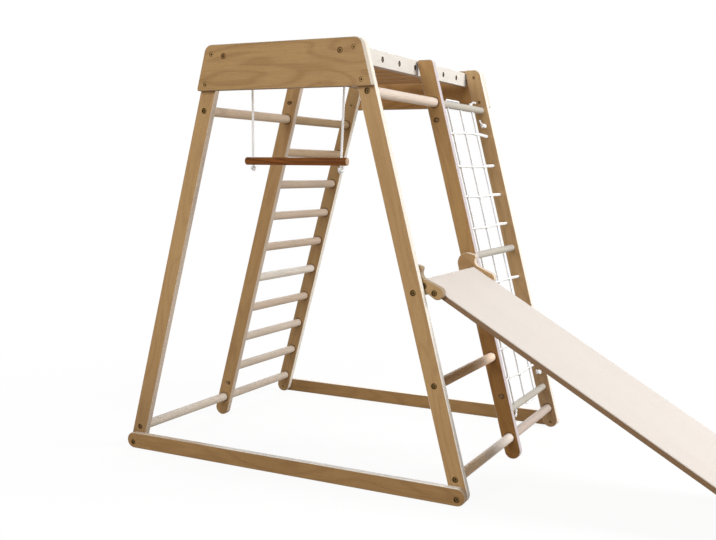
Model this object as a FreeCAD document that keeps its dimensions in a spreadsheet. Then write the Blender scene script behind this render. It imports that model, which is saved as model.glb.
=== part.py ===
import FreeCAD, Part
import math
import os
import Sketcher
from FreeCAD import Placement, Rotation, Vector

doc = FreeCAD.newDocument("climbing_frame")
sheet = doc.addObject("Spreadsheet::Sheet", "sizes")

# Driving dimensions in millimetres and degrees.
# X runs across the frame, Y from the front frame to the back one, Z up from the floor.
SIZES = [
    ("frame_height", 1300, "floor to the top edge of both headers"),
    ("ply", 21, "birch plywood of legs, rails, headers, beams and hooks"),
    ("edge_round", 3, "radius along the edges of all boards"),
    ("leg_width", 54, "width of every leg"),
    ("leg_lean", 15.15, "lean of the legs from upright"),
    ("foot_spread", 1173, "between the leg centre lines at the floor"),
    ("leg_corner", 8, "inner corner radius at the top of the legs"),
    ("crown_corner", 14, "outer corner radius at the top of the middle legs"),
    ("middle_drop", 10, "middle leg tops below the header tops"),
    ("front_bay", 460, "clear gap from front legs to middle legs"),
    ("back_bay", 421, "clear gap from middle legs to back legs"),
    ("header_height", 135, "height of the header boards"),
    ("header_corner", 26, "upper corner radius of the headers and the end legs"),
    ("header_foot", 6, "radius of the lower header corners"),
    ("rail_height", 52, "height of the floor rails, with round ends"),
    ("rail_end", 25, "floor rail past the bolt at each end"),
    ("beam_height", 50, "height of the two top beams"),
    ("beam_drop", 10, "beam tops below the header tops"),
    ("beam_fit", 0.5, "gap from a beam to the nearest leg edge"),
    ("dowel_diameter", 30, "beech dowels, bars and rungs"),
    ("net_dowel", 24, "thinner rungs that hold the net"),
    ("bar_pitch", 121, "spacing of the overhead bars"),
    ("rung_base", 70, "height of the lowest dowels on both sides"),
    ("ladder_drop", 193, "top rung of the ladder below the header tops"),
    ("net_drop", 147, "top dowels on the net side below the header tops"),
    ("net_middle", 656, "height of the rung in the middle of the net"),
    ("net_base", 149, "height of the rung under the net"),
    ("slide_hang", 592, "height of the dowel that carries the slide"),
    ("step_height", 332, "height of the step dowel under the slide"),
    ("socket_depth", 8, "depth of the dowel sockets in the middle legs"),
    ("socket_fit", 0.4, "socket diameter over the dowel"),
    ("end_gap", 0.3, "dowel end to the bottom of its socket"),
    ("bolt_diameter", 6, "connector bolts"),
    ("bolt_fit", 0.4, "hole diameter over the bolt, and recess over its head"),
    ("bolt_head", 13, "diameter of the flush bolt heads"),
    ("deep_head", 14, "diameter of the bolt heads that sit deep"),
    ("deep_hole", 17, "diameter of the holes over the deep heads"),
    ("deep_sink", 6, "depth of the holes over the deep heads"),
    ("head_thick", 3, "thickness of the flat bolt heads"),
    ("head_sink", 4, "depth of the recess for a flush head"),
    ("board_bite", 14, "reach of a bolt into the second board"),
    ("grain_bite", 38, "reach of a bolt into end grain"),
    ("bolt_clear", 1, "space left past a bolt's end"),
    ("header_bolt_inset", 28, "upper header bolts below the header top"),
    ("header_bolt_step", 89, "between upper and lower header bolts"),
    ("rail_bolt_height", 20, "height of the floor rail bolts"),
    ("insert_offset", 56, "spare insert from the dowel next to it"),
    ("rope_net", 7, "rope of the climbing net"),
    ("net_hole", 11, "holes for the ends of the net's ropes"),
    ("net_tuck", 6, "length of a rope end in its hole"),
    ("net_first_upper", 97, "top row of the net below the top rung"),
    ("net_first_lower", 107, "first row of the net below the middle rung"),
    ("net_last", 86.5, "last row of the net above the rung under it"),
    ("net_rope_near", 91, "first upright rope from the middle leg"),
    ("net_rope_step", 115, "spacing of the upright ropes"),
    ("rung_hole", 9, "holes through the net rungs for the upright ropes"),
    ("rung_knot", 15, "diameter of the knots at the ends of the upright ropes"),
    ("loop_fit", 0.4, "rope to the bar or rung that it bears on"),
    ("tie_knot", 25, "diameter of the net's tie knots"),
    ("trapeze_diameter", 24, "diameter of the trapeze bar"),
    ("trapeze_height", 957, "height of the trapeze bar"),
    ("trapeze_inset_left", 7, "left trapeze rope from the left beam"),
    ("trapeze_inset_right", 51, "right trapeze rope from the right beam"),
    ("trapeze_end_left", 24, "trapeze bar past its left rope"),
    ("trapeze_end_right", 19, "trapeze bar past its right rope"),
    ("rope_trapeze", 8, "rope of the trapeze"),
    ("rope_fit", 1, "hole in the trapeze bar over its rope"),
    ("hitch_swell", 1, "hitched turn round the bar over the plain rope"),
    ("trapeze_knot", 18, "diameter of the stopper knots"),
    ("rope_tail", 14, "rope left hanging under a stopper knot"),
    ("slide_length", 1215, "length of the slide board"),
    ("slide_ply", 18, "thickness of the slide board"),
    ("slide_seat", 36.5, "slide surface above the axis of its dowel"),
    ("slide_overhang", 10, "top end of the slide past the axis of its dowel"),
    ("slide_corner", 22, "corner radius of the slide's lower end"),
    ("hook_gap", 4, "gap from a hook to the leg beside it"),
    ("hook_fit", 0.4, "gap between the hook's seat and its dowel"),
    ("hook_horn_radius", 32, "round head of the hook"),
    ("hook_horn_back", 14.5, "centre of the round head behind the dowel axis"),
    ("hook_horn_rise", 48, "centre of the round head above the dowel axis"),
    ("hook_shoulder_radius", 8, "small round at the front of the head"),
    ("hook_shoulder_ahead", 8, "centre of that round ahead of the dowel axis"),
    ("hook_shoulder_rise", 67.5, "centre of that round above the dowel axis"),
    ("hook_neck_radius", 20, "hollow between head and lobe"),
    ("hook_neck_fall", 25, "slope from the shoulder to the centre of the hollow"),
    ("hook_lobe_radius", 19, "round lobe along the slide's edge"),
    ("hook_lobe_end", 7.3, "centre of the lobe past the outer hook bolt"),
    ("hook_lobe_lift", 4.5, "centre of the lobe above the slide's middle"),
    ("hook_bolt_outer", 46.7, "outer hook bolt from the dowel axis along the slide"),
    ("hook_bolt_inner", 9, "inner hook bolt from the dowel axis along the slide"),
    ("hook_finger_width", 20, "finger behind the dowel"),
    ("hook_finger_drop", 4, "centre of the finger's round end below the dowel axis"),
]
for row, (name, value, note) in enumerate(SIZES, start=1):
    sheet.set(f"A{row}", name)
    sheet.set(f"B{row}", str(value))
    sheet.setAlias(f"B{row}", name)
    sheet.set(f"C{row}", note)
doc.recompute()

BAR_COUNT = 7
RUNG_COUNT = 10
NET_ROWS = 4
NET_UPRIGHTS = 3
SIDES = {"left": -1, "right": 1}
TINY = 1e-6


def size(name):
    return float(sheet.get(name))


# Places that several pieces share.
ply = size("ply")
lean = math.radians(size("leg_lean"))
leg_half = size("leg_width") / 2
frame_top = size("frame_height")
y_rail = -ply / 2
y_front_leg = ply / 2
y_middle_leg = y_front_leg + ply + size("front_bay")
y_net = y_middle_leg + ply
y_back_leg = y_net + size("back_bay")
y_back_rail = y_back_leg + ply
y_mid_depth = (y_rail + y_back_rail + ply) / 2
bar_middle = (BAR_COUNT - 1) / 2
bar_ys = [y_mid_depth + (i - bar_middle) * size("bar_pitch") for i in range(BAR_COUNT)]
beam_top = frame_top - size("beam_drop")
beam_axis = beam_top - size("beam_height") / 2
ladder_top = frame_top - size("ladder_drop")
rung_pitch = (ladder_top - size("rung_base")) / (RUNG_COUNT - 1)
ladder_heights = [size("rung_base") + i * rung_pitch for i in range(RUNG_COUNT)]
net_top = frame_top - size("net_drop")
net_heights = [size("net_base"), size("net_middle"), net_top]
uprights = [size("net_rope_near") + i * size("net_rope_step") for i in range(NET_UPRIGHTS)]
rail_heights = [size("rail_bolt_height")]
header_heights = [frame_top - size("header_bolt_inset") - i * size("header_bolt_step") for i in range(2)]


def leg_x(z):
    """Distance of a leg's centre line from the middle plane at height z."""
    return size("foot_spread") / 2 - z * math.tan(lean)


def leg_inner_x(z):
    return leg_x(z) - leg_half / math.cos(lean)


def leg_outer_x(z):
    return leg_x(z) + leg_half / math.cos(lean)


def on_leg(side, heights):
    return [(SIDES[side] * leg_x(z), z) for z in heights]


beam_x = leg_inner_x(beam_top) - size("beam_fit") - ply / 2
beam_inner_x = beam_x - ply / 2
beam_outer_x = beam_x + ply / 2

front_heights = {
    "left": [size("rung_base"), ladder_top],
    "right": [size("rung_base"), size("step_height"), size("slide_hang"), net_top],
}
back_heights = {
    "left": ladder_heights,
    "right": [size("rung_base")] + net_heights,
}
insert_heights = {
    "left": [size("rung_base") + size("insert_offset"), ladder_top + size("insert_offset")],
    "right": [size("net_base") + size("insert_offset"), net_top - size("insert_offset")],
}


def net_rows(rung_over, first, rung_under):
    """Heights of the evenly spaced rows between two rungs, from the top."""
    high = rung_over - first
    low = rung_under + size("net_last")
    return [high - i * (high - low) / (NET_ROWS - 1) for i in range(NET_ROWS)]


rows_upper = net_rows(net_top, size("net_first_upper"), size("net_middle"))
rows_lower = net_rows(size("net_middle"), size("net_first_lower"), size("net_base"))

# The slide turns about its dowel, and its lower edge stands on the floor.
slide_toe = size("slide_length") - size("slide_overhang")
slide_under = size("slide_seat") - size("slide_ply")
slide_drop = math.asin(size("slide_hang") / math.hypot(slide_toe, slide_under))
slide_angle = slide_drop + math.atan2(slide_under, slide_toe)
slide_x = leg_x(size("slide_hang"))
y_hook_near = y_front_leg + ply + size("hook_gap")
y_slide = y_hook_near + ply
slide_width = size("front_bay") - 2 * (size("hook_gap") + ply)
y_hook_far = y_slide + slide_width

# Ways that round pieces lie. Each turns the +Z axis.
ALONG_X = Rotation(Vector(0, 1, 0), 90)
AGAINST_X = Rotation(Vector(0, 1, 0), -90)
ALONG_Y = Rotation(Vector(1, 0, 0), -90)
AGAINST_Y = Rotation(Vector(1, 0, 0), 90)

BOLT_HOLE = "sizes.bolt_diameter + sizes.bolt_fit"
HEAD_HOLE = "sizes.bolt_head + sizes.bolt_fit"
DEEP_HOLE = "sizes.deep_hole"
THROUGH = "sizes.ply + sizes.bolt_clear"
BOARD_HOLE = "sizes.board_bite + sizes.bolt_clear"
GRAIN_HOLE = "sizes.grain_bite + sizes.bolt_clear"
DOWEL = "sizes.dowel_diameter"
NET_DOWEL = "sizes.net_dowel"
SOCKET = DOWEL + " + sizes.socket_fit"
NET_SOCKET = NET_DOWEL + " + sizes.socket_fit"

nodes = []


def rounded(corners):
    """Edges of a closed polygon whose corners (x, z, radius) are rounded."""
    points = [Vector(x, z, 0) for x, z, radius in corners]
    count = len(points)
    edges = []
    ends = []
    for i, corner in enumerate(points):
        radius = corners[i][2]
        back = (points[i - 1] - corner).normalize()
        ahead = (points[(i + 1) % count] - corner).normalize()
        half = back.getAngle(ahead) / 2
        start = corner + back * (radius / math.tan(half))
        end = corner + ahead * (radius / math.tan(half))
        ends.append((start, end))
        if radius > 0:
            centre = corner + (back + ahead).normalize() * (radius / math.sin(half))
            middle = centre + (corner - centre).normalize() * radius
            edges.append(Part.Arc(start, middle, end))
    for i in range(count):
        start = ends[i][1]
        end = ends[(i + 1) % count][0]
        if start.distanceToPoint(end) > TINY:
            edges.append(Part.LineSegment(start, end))
    return edges


def sketch_on(body, name, role, offset=0):
    sketch = body.newObject("Sketcher::SketchObject", name)
    plane = next(item for item in body.Origin.OriginFeatures if item.Role == role)
    sketch.AttachmentSupport = (plane, [""])
    sketch.MapMode = "FlatFace"
    sketch.AttachmentOffset = Placement(Vector(0, 0, offset), Rotation())
    return sketch


def flat_along(edge, axis):
    return getattr(edge.BoundBox, axis + "Length") < TINY


def board(label, edges, place, role="XZ_Plane", thickness="sizes.ply", raised="0", square_ends=False):
    """A board cut to an outline in one of its own planes, thickened along +Y, +X or +Z, with soft edges."""
    across = {"XZ_Plane": "Y", "YZ_Plane": "X", "XY_Plane": "Z"}[role]
    body = doc.addObject("PartDesign::Body", label)
    outline = sketch_on(body, label + "_outline", role)
    outline.setExpression("AttachmentOffset.Base.z", raised)
    outline.addGeometry(edges)
    pad = body.newObject("PartDesign::Pad", label + "_pad")
    pad.Profile = outline
    pad.setExpression("Length", thickness)
    pad.Reversed = role == "XZ_Plane"
    doc.recompute()
    rim = []
    for i, edge in enumerate(pad.Shape.Edges, start=1):
        at_an_end = square_ends and flat_along(edge, "Y")
        if flat_along(edge, across) and not at_an_end:
            rim.append(f"Edge{i}")
    soft = body.newObject("PartDesign::Fillet", label + "_soft_edges")
    soft.Base = (pad, rim)
    soft.setExpression("Radius", "sizes.edge_round")
    body.Placement = place
    doc.recompute()
    nodes.append(body)
    return body


def drill(body, name, centres, diameter, depth, back=None, role="XZ_Plane"):
    """Round holes from the face in the plane, or from the face at that distance behind it."""
    towards_plus = role == "YZ_Plane"
    offset = 0 if back is None else back if towards_plus else -back
    sketch = sketch_on(body, f"{body.Name}_{name}", role, offset)
    for i, (across, up) in enumerate(centres):
        sketch.addGeometry(Part.Circle(Vector(across, up, 0), Vector(0, 0, 1), 1))
        sketch.addConstraint(Sketcher.Constraint("Diameter", i, 2))
        sketch.setExpression(f"Constraints[{i}]", diameter)
    before = body.Shape.Volume
    pocket = body.newObject("PartDesign::Pocket", f"{body.Name}_{name}_cut")
    pocket.Profile = sketch
    pocket.setExpression("Length", depth)
    pocket.Reversed = (back is None) == towards_plus
    doc.recompute()
    if not body.Shape.Volume < before:
        raise RuntimeError(f"{name} cuts nothing from {body.Label}")


def bolt_seats(body, name, centres, back=None, role="XZ_Plane", flush=False):
    """Through holes with a recess for bolt heads that sit deep or flush."""
    drill(body, name, centres, BOLT_HOLE, THROUGH, back, role)
    if flush:
        drill(body, name + "_recess", centres, HEAD_HOLE, "sizes.head_sink", back, role)
    else:
        drill(body, name + "_recess", centres, DEEP_HOLE, "sizes.deep_sink", back, role)


def bind(item, prop, value):
    """Set a property to a number, or tie it to the sheet by an expression."""
    if isinstance(value, str):
        item.setExpression(prop, value)
    else:
        setattr(item, prop, value)


def rod(name, diameter, length, place=Placement()):
    item = doc.addObject("Part::Cylinder", name)
    bind(item, "Radius", f"({diameter}) / 2")
    bind(item, "Height", length)
    item.Placement = place
    return item


def combine(kind, label, base, tools):
    """Cut or join a row of tools with a base, one after another."""
    result = base
    for i, tool in enumerate(tools):
        step = doc.addObject(kind, f"{label}_{i}")
        step.Base = result
        step.Tool = tool
        result = step
    result.Label = label
    nodes.append(result)
    return result


def dowel(label, length, span, place, bolted_ends, diameter=DOWEL, cross_holes=()):
    """A turned dowel along its own +Z, drilled at the ends that take a bolt, and across for ropes."""
    stock = rod(label + "_stock", diameter, length)
    pilots = list(cross_holes)
    for end in bolted_ends:
        pilot = rod(f"{label}_{end}_pilot", BOLT_HOLE, GRAIN_HOLE)
        if end == "far":
            pilot.Placement.Base.z = span - size("grain_bite") - size("bolt_clear")
        pilots.append(pilot)
    node = combine("Part::Cut", label, stock, pilots)
    node.Placement = place
    return node


def group(label, shapes):
    """Like pieces that share one node as separate solids."""
    node = doc.addObject("Part::Feature", label)
    node.Shape = Part.makeCompound(shapes)
    nodes.append(node)


def bolt(reach, head_size):
    """A flat-headed bolt along +Z, from the outer face of its head to its reach under the head."""
    head = Part.makeCylinder(size(head_size) / 2, size("head_thick"))
    shank = Part.makeCylinder(size("bolt_diameter") / 2, size("head_thick") + reach)
    return head.fuse(shank).removeSplitter()


def copies(shape, points, turn):
    found = []
    for point in points:
        copy = shape.copy()
        copy.Placement = Placement(Vector(*point), turn)
        found.append(copy)
    return found


def at_y(y, centres):
    return [(x, y, z) for x, z in centres]


flush_lip = size("head_sink") - size("head_thick")
deep_lip = size("deep_sink") - size("head_thick")
flush_board_bolt = bolt(ply - size("head_sink") + size("board_bite"), "bolt_head")
flush_grain_bolt = bolt(ply - size("head_sink") + size("grain_bite"), "bolt_head")
deep_board_bolt = bolt(ply - size("deep_sink") + size("board_bite"), "deep_head")
deep_grain_bolt = bolt(ply - size("deep_sink") + size("grain_bite"), "deep_head")
insert_bolt = bolt(size("board_bite") - size("head_sink"), "bolt_head")

# Legs: straight plywood strips with round feet, two in each of three frames, leaning together.


def leg_outline(sign, top, outer_corner):
    corners = []
    for edge in (-1, 1):
        x = leg_x(leg_half) + edge * leg_half * math.cos(lean) + leg_half * math.sin(lean)
        z = leg_half + edge * leg_half * math.sin(lean) - leg_half * math.cos(lean)
        corners.append((sign * x, z, leg_half))
    corners.append((sign * leg_outer_x(top), top, outer_corner))
    corners.append((sign * leg_inner_x(top), top, size("leg_corner")))
    return rounded(corners)


def facing_front(y):
    return Placement(Vector(0, y, 0), Rotation())


for side, sign in SIDES.items():
    inserts = on_leg(side, insert_heights[side])
    net_ends = on_leg(side, rows_upper + rows_lower)
    end_leg = leg_outline(sign, frame_top, size("header_corner"))
    middle_leg = leg_outline(sign, frame_top - size("middle_drop"), size("crown_corner"))

    leg = board(f"front_leg_{side}", end_leg, facing_front(y_front_leg))
    bolt_seats(leg, "dowel_bolts", on_leg(side, front_heights[side]))
    drill(leg, "board_bolts", on_leg(side, header_heights + rail_heights), BOLT_HOLE, BOARD_HOLE)

    leg = board(f"middle_leg_{side}", middle_leg, facing_front(y_middle_leg))
    drill(leg, "front_sockets", on_leg(side, front_heights[side]), SOCKET, "sizes.socket_depth")
    drill(leg, "inserts", inserts, BOLT_HOLE, BOARD_HOLE)
    drill(leg, "inserts_recess", inserts, HEAD_HOLE, "sizes.head_sink")
    if side == "right":
        drill(leg, "base_socket", on_leg(side, back_heights[side][:1]), SOCKET, "sizes.socket_depth", ply)
        drill(leg, "net_sockets", on_leg(side, net_heights), NET_SOCKET, "sizes.socket_depth", ply)
        drill(leg, "net_holes", net_ends, "sizes.net_hole", "sizes.net_tuck", ply)
    else:
        drill(leg, "back_sockets", on_leg(side, back_heights[side]), SOCKET, "sizes.socket_depth", ply)

    leg = board(f"back_leg_{side}", end_leg, facing_front(y_back_leg))
    bolt_seats(leg, "dowel_bolts", on_leg(side, back_heights[side]), ply)
    bolt_seats(leg, "board_bolts", on_leg(side, header_heights + rail_heights), flush=True)
    if side == "right":
        drill(leg, "net_holes", net_ends + inserts, "sizes.net_hole", "sizes.net_tuck")

# Headers: round-cornered boards over the tops of the end legs, flush with their outer edges.
header_low = frame_top - size("header_height")
header_shape = []
for sign, z in ((-1, header_low), (1, header_low), (1, frame_top), (-1, frame_top)):
    corner = "header_corner" if z == frame_top else "header_foot"
    header_shape.append((sign * leg_outer_x(z), z, size(corner)))
header_bolts = on_leg("left", header_heights) + on_leg("right", header_heights)
beam_ends = [(-beam_x, beam_axis), (beam_x, beam_axis)]

header = board("front_header", rounded(header_shape), facing_front(y_rail))
bolt_seats(header, "bolts", header_bolts + beam_ends, flush=True)
header = board("back_header", rounded(header_shape), facing_front(y_back_rail))
drill(header, "leg_bolts", header_bolts, BOLT_HOLE, BOARD_HOLE)
bolt_seats(header, "beam_bolts", beam_ends, ply, flush=True)

# Floor rails: round-ended boards that tie the feet of the end legs.
rail_half = leg_x(size("rail_bolt_height")) + size("rail_end")
rail_round = size("rail_height") / 2
rail_shape = []
rail_top = size("rail_height")
for x, z in ((-rail_half, 0), (rail_half, 0), (rail_half, rail_top), (-rail_half, rail_top)):
    rail_shape.append((x, z, rail_round))
rail_bolts = on_leg("left", rail_heights) + on_leg("right", rail_heights)

rail = board("front_floor_rail", rounded(rail_shape), facing_front(y_rail))
bolt_seats(rail, "leg_bolts", rail_bolts)
rail = board("back_floor_rail", rounded(rail_shape), facing_front(y_back_rail))
drill(rail, "leg_bolts", rail_bolts, BOLT_HOLE, BOARD_HOLE)

# Top beams: boards on edge between the headers, drilled across for the overhead bars.
beam_span = y_back_rail - y_front_leg
beam_low = beam_top - size("beam_height")
beam_shape = [(0, beam_low, 0), (beam_span, beam_low, 0), (beam_span, beam_top, 0), (0, beam_top, 0)]
bar_seats = [(y - y_front_leg, beam_axis) for y in bar_ys]
for side, sign in SIDES.items():
    place = Placement(Vector(sign * beam_x - ply / 2, y_front_leg, 0), Rotation())
    beam = board(f"top_beam_{side}", rounded(beam_shape), place, "YZ_Plane", square_ends=True)
    bolt_seats(beam, "bar_bolts", bar_seats, ply if side == "right" else None, "YZ_Plane")
    drill(beam, "front_end", [(ply / 2, beam_axis)], BOLT_HOLE, GRAIN_HOLE)
    drill(beam, "back_end", [(ply / 2, beam_axis)], BOLT_HOLE, GRAIN_HOLE, beam_span)

# Overhead bars: seven dowels across the beams, bolted at both ends.
bar_length = 2 * beam_inner_x
for i, y in enumerate(bar_ys, start=1):
    place = Placement(Vector(-beam_inner_x, y, beam_axis), ALONG_X)
    dowel(f"overhead_bar_{i}", bar_length, bar_length, place, ("near", "far"))

# Side dowels: bolted at the end legs, and seated in sockets of the middle legs.
seat = size("socket_depth") - size("end_gap")
FRONT_SPAN = "sizes.front_bay + sizes.socket_depth - sizes.end_gap"
BACK_SPAN = "sizes.back_bay + sizes.socket_depth - sizes.end_gap"
front_names = {
    "left": ["left_base_dowel", "left_top_dowel"],
    "right": ["right_base_dowel", "step_dowel", "slide_dowel", "right_top_dowel"],
}
back_names = {
    "left": [f"ladder_rung_{i + 1}" for i in range(RUNG_COUNT)],
    "right": ["net_base_dowel", "net_rung_lower", "net_rung_middle", "net_rung_top"],
}


def rope_holes(label):
    """Tools for the holes through a net rung, which follow the lean of the legs."""
    along = Vector(-math.sin(lean), -math.cos(lean), 0)
    half = size("net_dowel") / 2 + size("bolt_clear")
    tools = []
    for i, y in enumerate(uprights):
        place = Placement(Vector(0, 0, seat + y) - along * half, Rotation(Vector(0, 0, 1), along))
        tools.append(rod(f"{label}_rope_{i}", "sizes.rung_hole", 2 * half, place))
    return tools


for side in SIDES:
    for name, (x, z) in zip(front_names[side], on_leg(side, front_heights[side])):
        place = Placement(Vector(x, y_front_leg + ply, z), ALONG_Y)
        dowel(name, FRONT_SPAN, size("front_bay") + seat, place, ("near",))
    for name, (x, z) in zip(back_names[side], on_leg(side, back_heights[side])):
        place = Placement(Vector(x, y_net - seat, z), ALONG_Y)
        if z in net_heights and side == "right":
            dowel(name, BACK_SPAN, size("back_bay") + seat, place, ("far",), NET_DOWEL, rope_holes(name))
        else:
            dowel(name, BACK_SPAN, size("back_bay") + seat, place, ("far",))

# Bolts: flat heads in recesses, each kind of joint a group of its own.
bolts = copies(flush_board_bolt, at_y(y_rail + flush_lip, header_bolts), ALONG_Y)
bolts += copies(flush_board_bolt, at_y(y_back_leg + flush_lip, header_bolts), ALONG_Y)
bolts += copies(flush_grain_bolt, at_y(y_rail + flush_lip, beam_ends), ALONG_Y)
bolts += copies(flush_grain_bolt, at_y(y_back_rail + ply - flush_lip, beam_ends), AGAINST_Y)
group("header_bolts", bolts)

bolts = copies(deep_board_bolt, at_y(y_rail + deep_lip, rail_bolts), ALONG_Y)
bolts += copies(flush_board_bolt, at_y(y_back_leg + flush_lip, rail_bolts), ALONG_Y)
group("floor_rail_bolts", bolts)

bolts = []
for side in SIDES:
    seats = on_leg(side, front_heights[side])
    bolts += copies(deep_grain_bolt, at_y(y_front_leg + deep_lip, seats), ALONG_Y)
group("front_dowel_bolts", bolts)

bolts = []
for side in SIDES:
    seats = on_leg(side, back_heights[side])
    bolts += copies(deep_grain_bolt, at_y(y_back_rail - deep_lip, seats), AGAINST_Y)
group("back_dowel_bolts", bolts)

bolts = copies(deep_grain_bolt, [(-beam_outer_x + deep_lip, y, beam_axis) for y in bar_ys], ALONG_X)
bolts += copies(deep_grain_bolt, [(beam_outer_x - deep_lip, y, beam_axis) for y in bar_ys], AGAINST_X)
group("overhead_bar_bolts", bolts)

bolts = []
for side in SIDES:
    seats = on_leg(side, insert_heights[side])
    bolts += copies(insert_bolt, at_y(y_middle_leg + flush_lip, seats), ALONG_Y)
group("spare_insert_bolts", bolts)

# Climbing net: a knotted mesh in the plane of the right legs, one holed face per half.
rope_half = size("rope_net") / 2
rung_clear = size("net_dowel") / 2 + size("loop_fit")
slope_up = Vector(-math.sin(lean), 0, math.cos(lean))
slope_out = Vector(math.cos(lean), 0, math.sin(lean))
net_turn = Rotation(Vector(0, 1, 0), slope_up, slope_out, "XYZ")
net_corner = Vector(size("foot_spread") / 2, y_net, 0) - slope_out * rope_half


def on_slope(z):
    return z / math.cos(lean)


def closed_wire(points):
    return Part.makePolygon([Vector(x, y, 0) for x, y in points + points[:1]])


def net_half(label, rung_over, rung_under, heights):
    """Rope rows and uprights as one face with a hole for each mesh, as thick as the rope."""
    rows = sorted(on_slope(z) for z in heights)
    top = on_slope(rung_over) - rung_clear
    bottom = on_slope(rung_under) + rung_clear
    left = -size("net_tuck") + size("end_gap")
    right = size("back_bay") - left
    low, high = -rope_half, rope_half
    rim = []
    for x in uprights:
        rim += [(x + low, rows[0] + low), (x + low, bottom), (x + high, bottom), (x + high, rows[0] + low)]
    for y in rows:
        edge = uprights[-1] + high
        rim += [(edge, y + low), (right, y + low), (right, y + high), (edge, y + high)]
    for x in reversed(uprights):
        rim += [(x + high, rows[-1] + high), (x + high, top), (x + low, top), (x + low, rows[-1] + high)]
    for y in reversed(rows):
        edge = uprights[0] + low
        rim += [(edge, y + high), (left, y + high), (left, y + low), (edge, y + low)]
    corners = [point for i, point in enumerate(rim) if point != rim[i - 1]]
    wires = [closed_wire(corners)]
    for x0, x1 in zip(uprights, uprights[1:]):
        for y0, y1 in zip(rows, rows[1:]):
            left_x, right_x = x0 + high, x1 + low
            low_y, high_y = y0 + high, y1 + low
            mesh = [(left_x, low_y), (right_x, low_y), (right_x, high_y), (left_x, high_y)]
            wires.append(closed_wire(mesh))
    face = Part.makeFace(Part.makeCompound(wires), "Part::FaceMakerBullseye")
    node = doc.addObject("Part::Feature", label)
    node.Shape = face.extrude(Vector(0, 0, size("rope_net")))
    node.Placement = Placement(net_corner, net_turn)
    nodes.append(node)


net_half("climbing_net_upper", net_top, size("net_middle"), rows_upper)
net_half("climbing_net_lower", size("net_middle"), size("net_base"), rows_lower)

# End knots: the upright ropes go through the rungs and are knotted past the highest and the lowest.
end_knot = Part.makeSphere(size("rung_knot") / 2)
knot_rise = math.sqrt((size("rung_knot") / 2 + size("end_gap")) ** 2 - (size("rung_hole") / 2) ** 2)
end_places = []
for z, way in ((net_top, 1), (size("net_base"), -1)):
    past_rung = slope_up * way * (size("net_dowel") / 2 + knot_rise)
    end_places += [Vector(leg_x(z), y_net + y, z) + past_rung for y in uprights]
group("net_rung_knots", copies(end_knot, end_places, Rotation()))

# Tie knots: the net's corner ropes end in a knot on the face of the back leg.
knot_radius = size("tie_knot") / 2
knot = Part.makeSphere(knot_radius)
knot = knot.fuse(Part.makeCylinder(rope_half, knot_radius + size("net_tuck"))).removeSplitter()
knot_places = at_y(y_back_leg - knot_radius - size("end_gap"), on_leg("right", insert_heights["right"]))
group("net_tie_knots", copies(knot, knot_places, ALONG_Y))

# Trapeze: a bar on two ropes, each looped round the first overhead bar.
rope_xs = {
    "left": size("trapeze_inset_left") - beam_inner_x,
    "right": beam_inner_x - size("trapeze_inset_right"),
}
trapeze_span = rope_xs["right"] - rope_xs["left"]
trapeze_length = trapeze_span + size("trapeze_end_left") + size("trapeze_end_right")
y_trapeze = bar_ys[0]
trapeze_radius = size("trapeze_diameter") / 2
ROPE_HOLE = "sizes.rope_trapeze + sizes.rope_fit"
stock = rod("trapeze_stock", "sizes.trapeze_diameter", trapeze_length)
bar_holes = []
for i in range(2):
    place = Placement(Vector(-trapeze_radius, 0, size("trapeze_end_left") + i * trapeze_span), ALONG_X)
    bar_holes.append(rod(f"trapeze_hole_{i}", ROPE_HOLE, "sizes.trapeze_diameter", place))
trapeze = combine("Part::Cut", "trapeze_bar", stock, bar_holes)
trapeze_start = rope_xs["left"] - size("trapeze_end_left")
trapeze.Placement = Placement(Vector(trapeze_start, y_trapeze, size("trapeze_height")), ALONG_X)

rope_radius = size("rope_trapeze") / 2
TURN = "(sizes.rope_trapeze + sizes.hitch_swell) / 2"
wrap_radius = (size("dowel_diameter") + size("rope_trapeze") + size("hitch_swell")) / 2 + size("loop_fit")
stopper_radius = size("trapeze_knot") / 2
stopper_z = size("trapeze_height") - trapeze_radius - stopper_radius - size("end_gap")
rope_foot = stopper_z - stopper_radius - size("rope_tail")
for side, x in rope_xs.items():
    wrap = doc.addObject("Part::Torus", f"rope_wrap_{side}")
    wrap.setExpression("Radius1", "sizes.dowel_diameter / 2 + sizes.loop_fit + " + TURN)
    wrap.setExpression("Radius2", TURN)
    wrap.Placement = Placement(Vector(x, y_trapeze, beam_axis), ALONG_X)
    foot = Placement(Vector(x, y_trapeze, rope_foot), Rotation())
    fall = rod(f"rope_fall_{side}", "sizes.rope_trapeze", beam_axis - wrap_radius - rope_foot, foot)
    combine("Part::Fuse", f"trapeze_rope_{side}", fall, [wrap])
stopper = Part.makeSphere(stopper_radius)
bore = Part.makeCylinder(rope_radius + size("bolt_fit") / 2, size("trapeze_knot"))
bore.Placement.Base.z = -stopper_radius
stopper = stopper.cut(bore)
group("trapeze_knots", copies(stopper, [(x, y_trapeze, stopper_z) for x in rope_xs.values()], Rotation()))

# Slide: a flat board with round lower corners, and bolt holes in its side edges.
slide_turn = Rotation(Vector(0, 1, 0), math.degrees(slide_angle))
slide_place = Placement(Vector(slide_x, y_slide, size("slide_hang")), slide_turn)
slide_start = -size("slide_overhang")
slide_shape = [(slide_start, 0, 0), (slide_toe, 0, size("slide_corner")),
               (slide_toe, slide_width, size("slide_corner")), (slide_start, slide_width, 0)]
UNDERSIDE = "sizes.slide_seat - sizes.slide_ply"
slide = board("slide_board", rounded(slide_shape), slide_place, "XY_Plane", "sizes.slide_ply", UNDERSIDE)
edge_line = size("slide_seat") - size("slide_ply") / 2
edge_bolts = [(size("hook_bolt_outer"), edge_line), (size("hook_bolt_inner"), edge_line)]
drill(slide, "near_bolts", edge_bolts, BOLT_HOLE, GRAIN_HOLE)
drill(slide, "far_bolts", edge_bolts, BOLT_HOLE, GRAIN_HOLE, slide_width)

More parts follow.
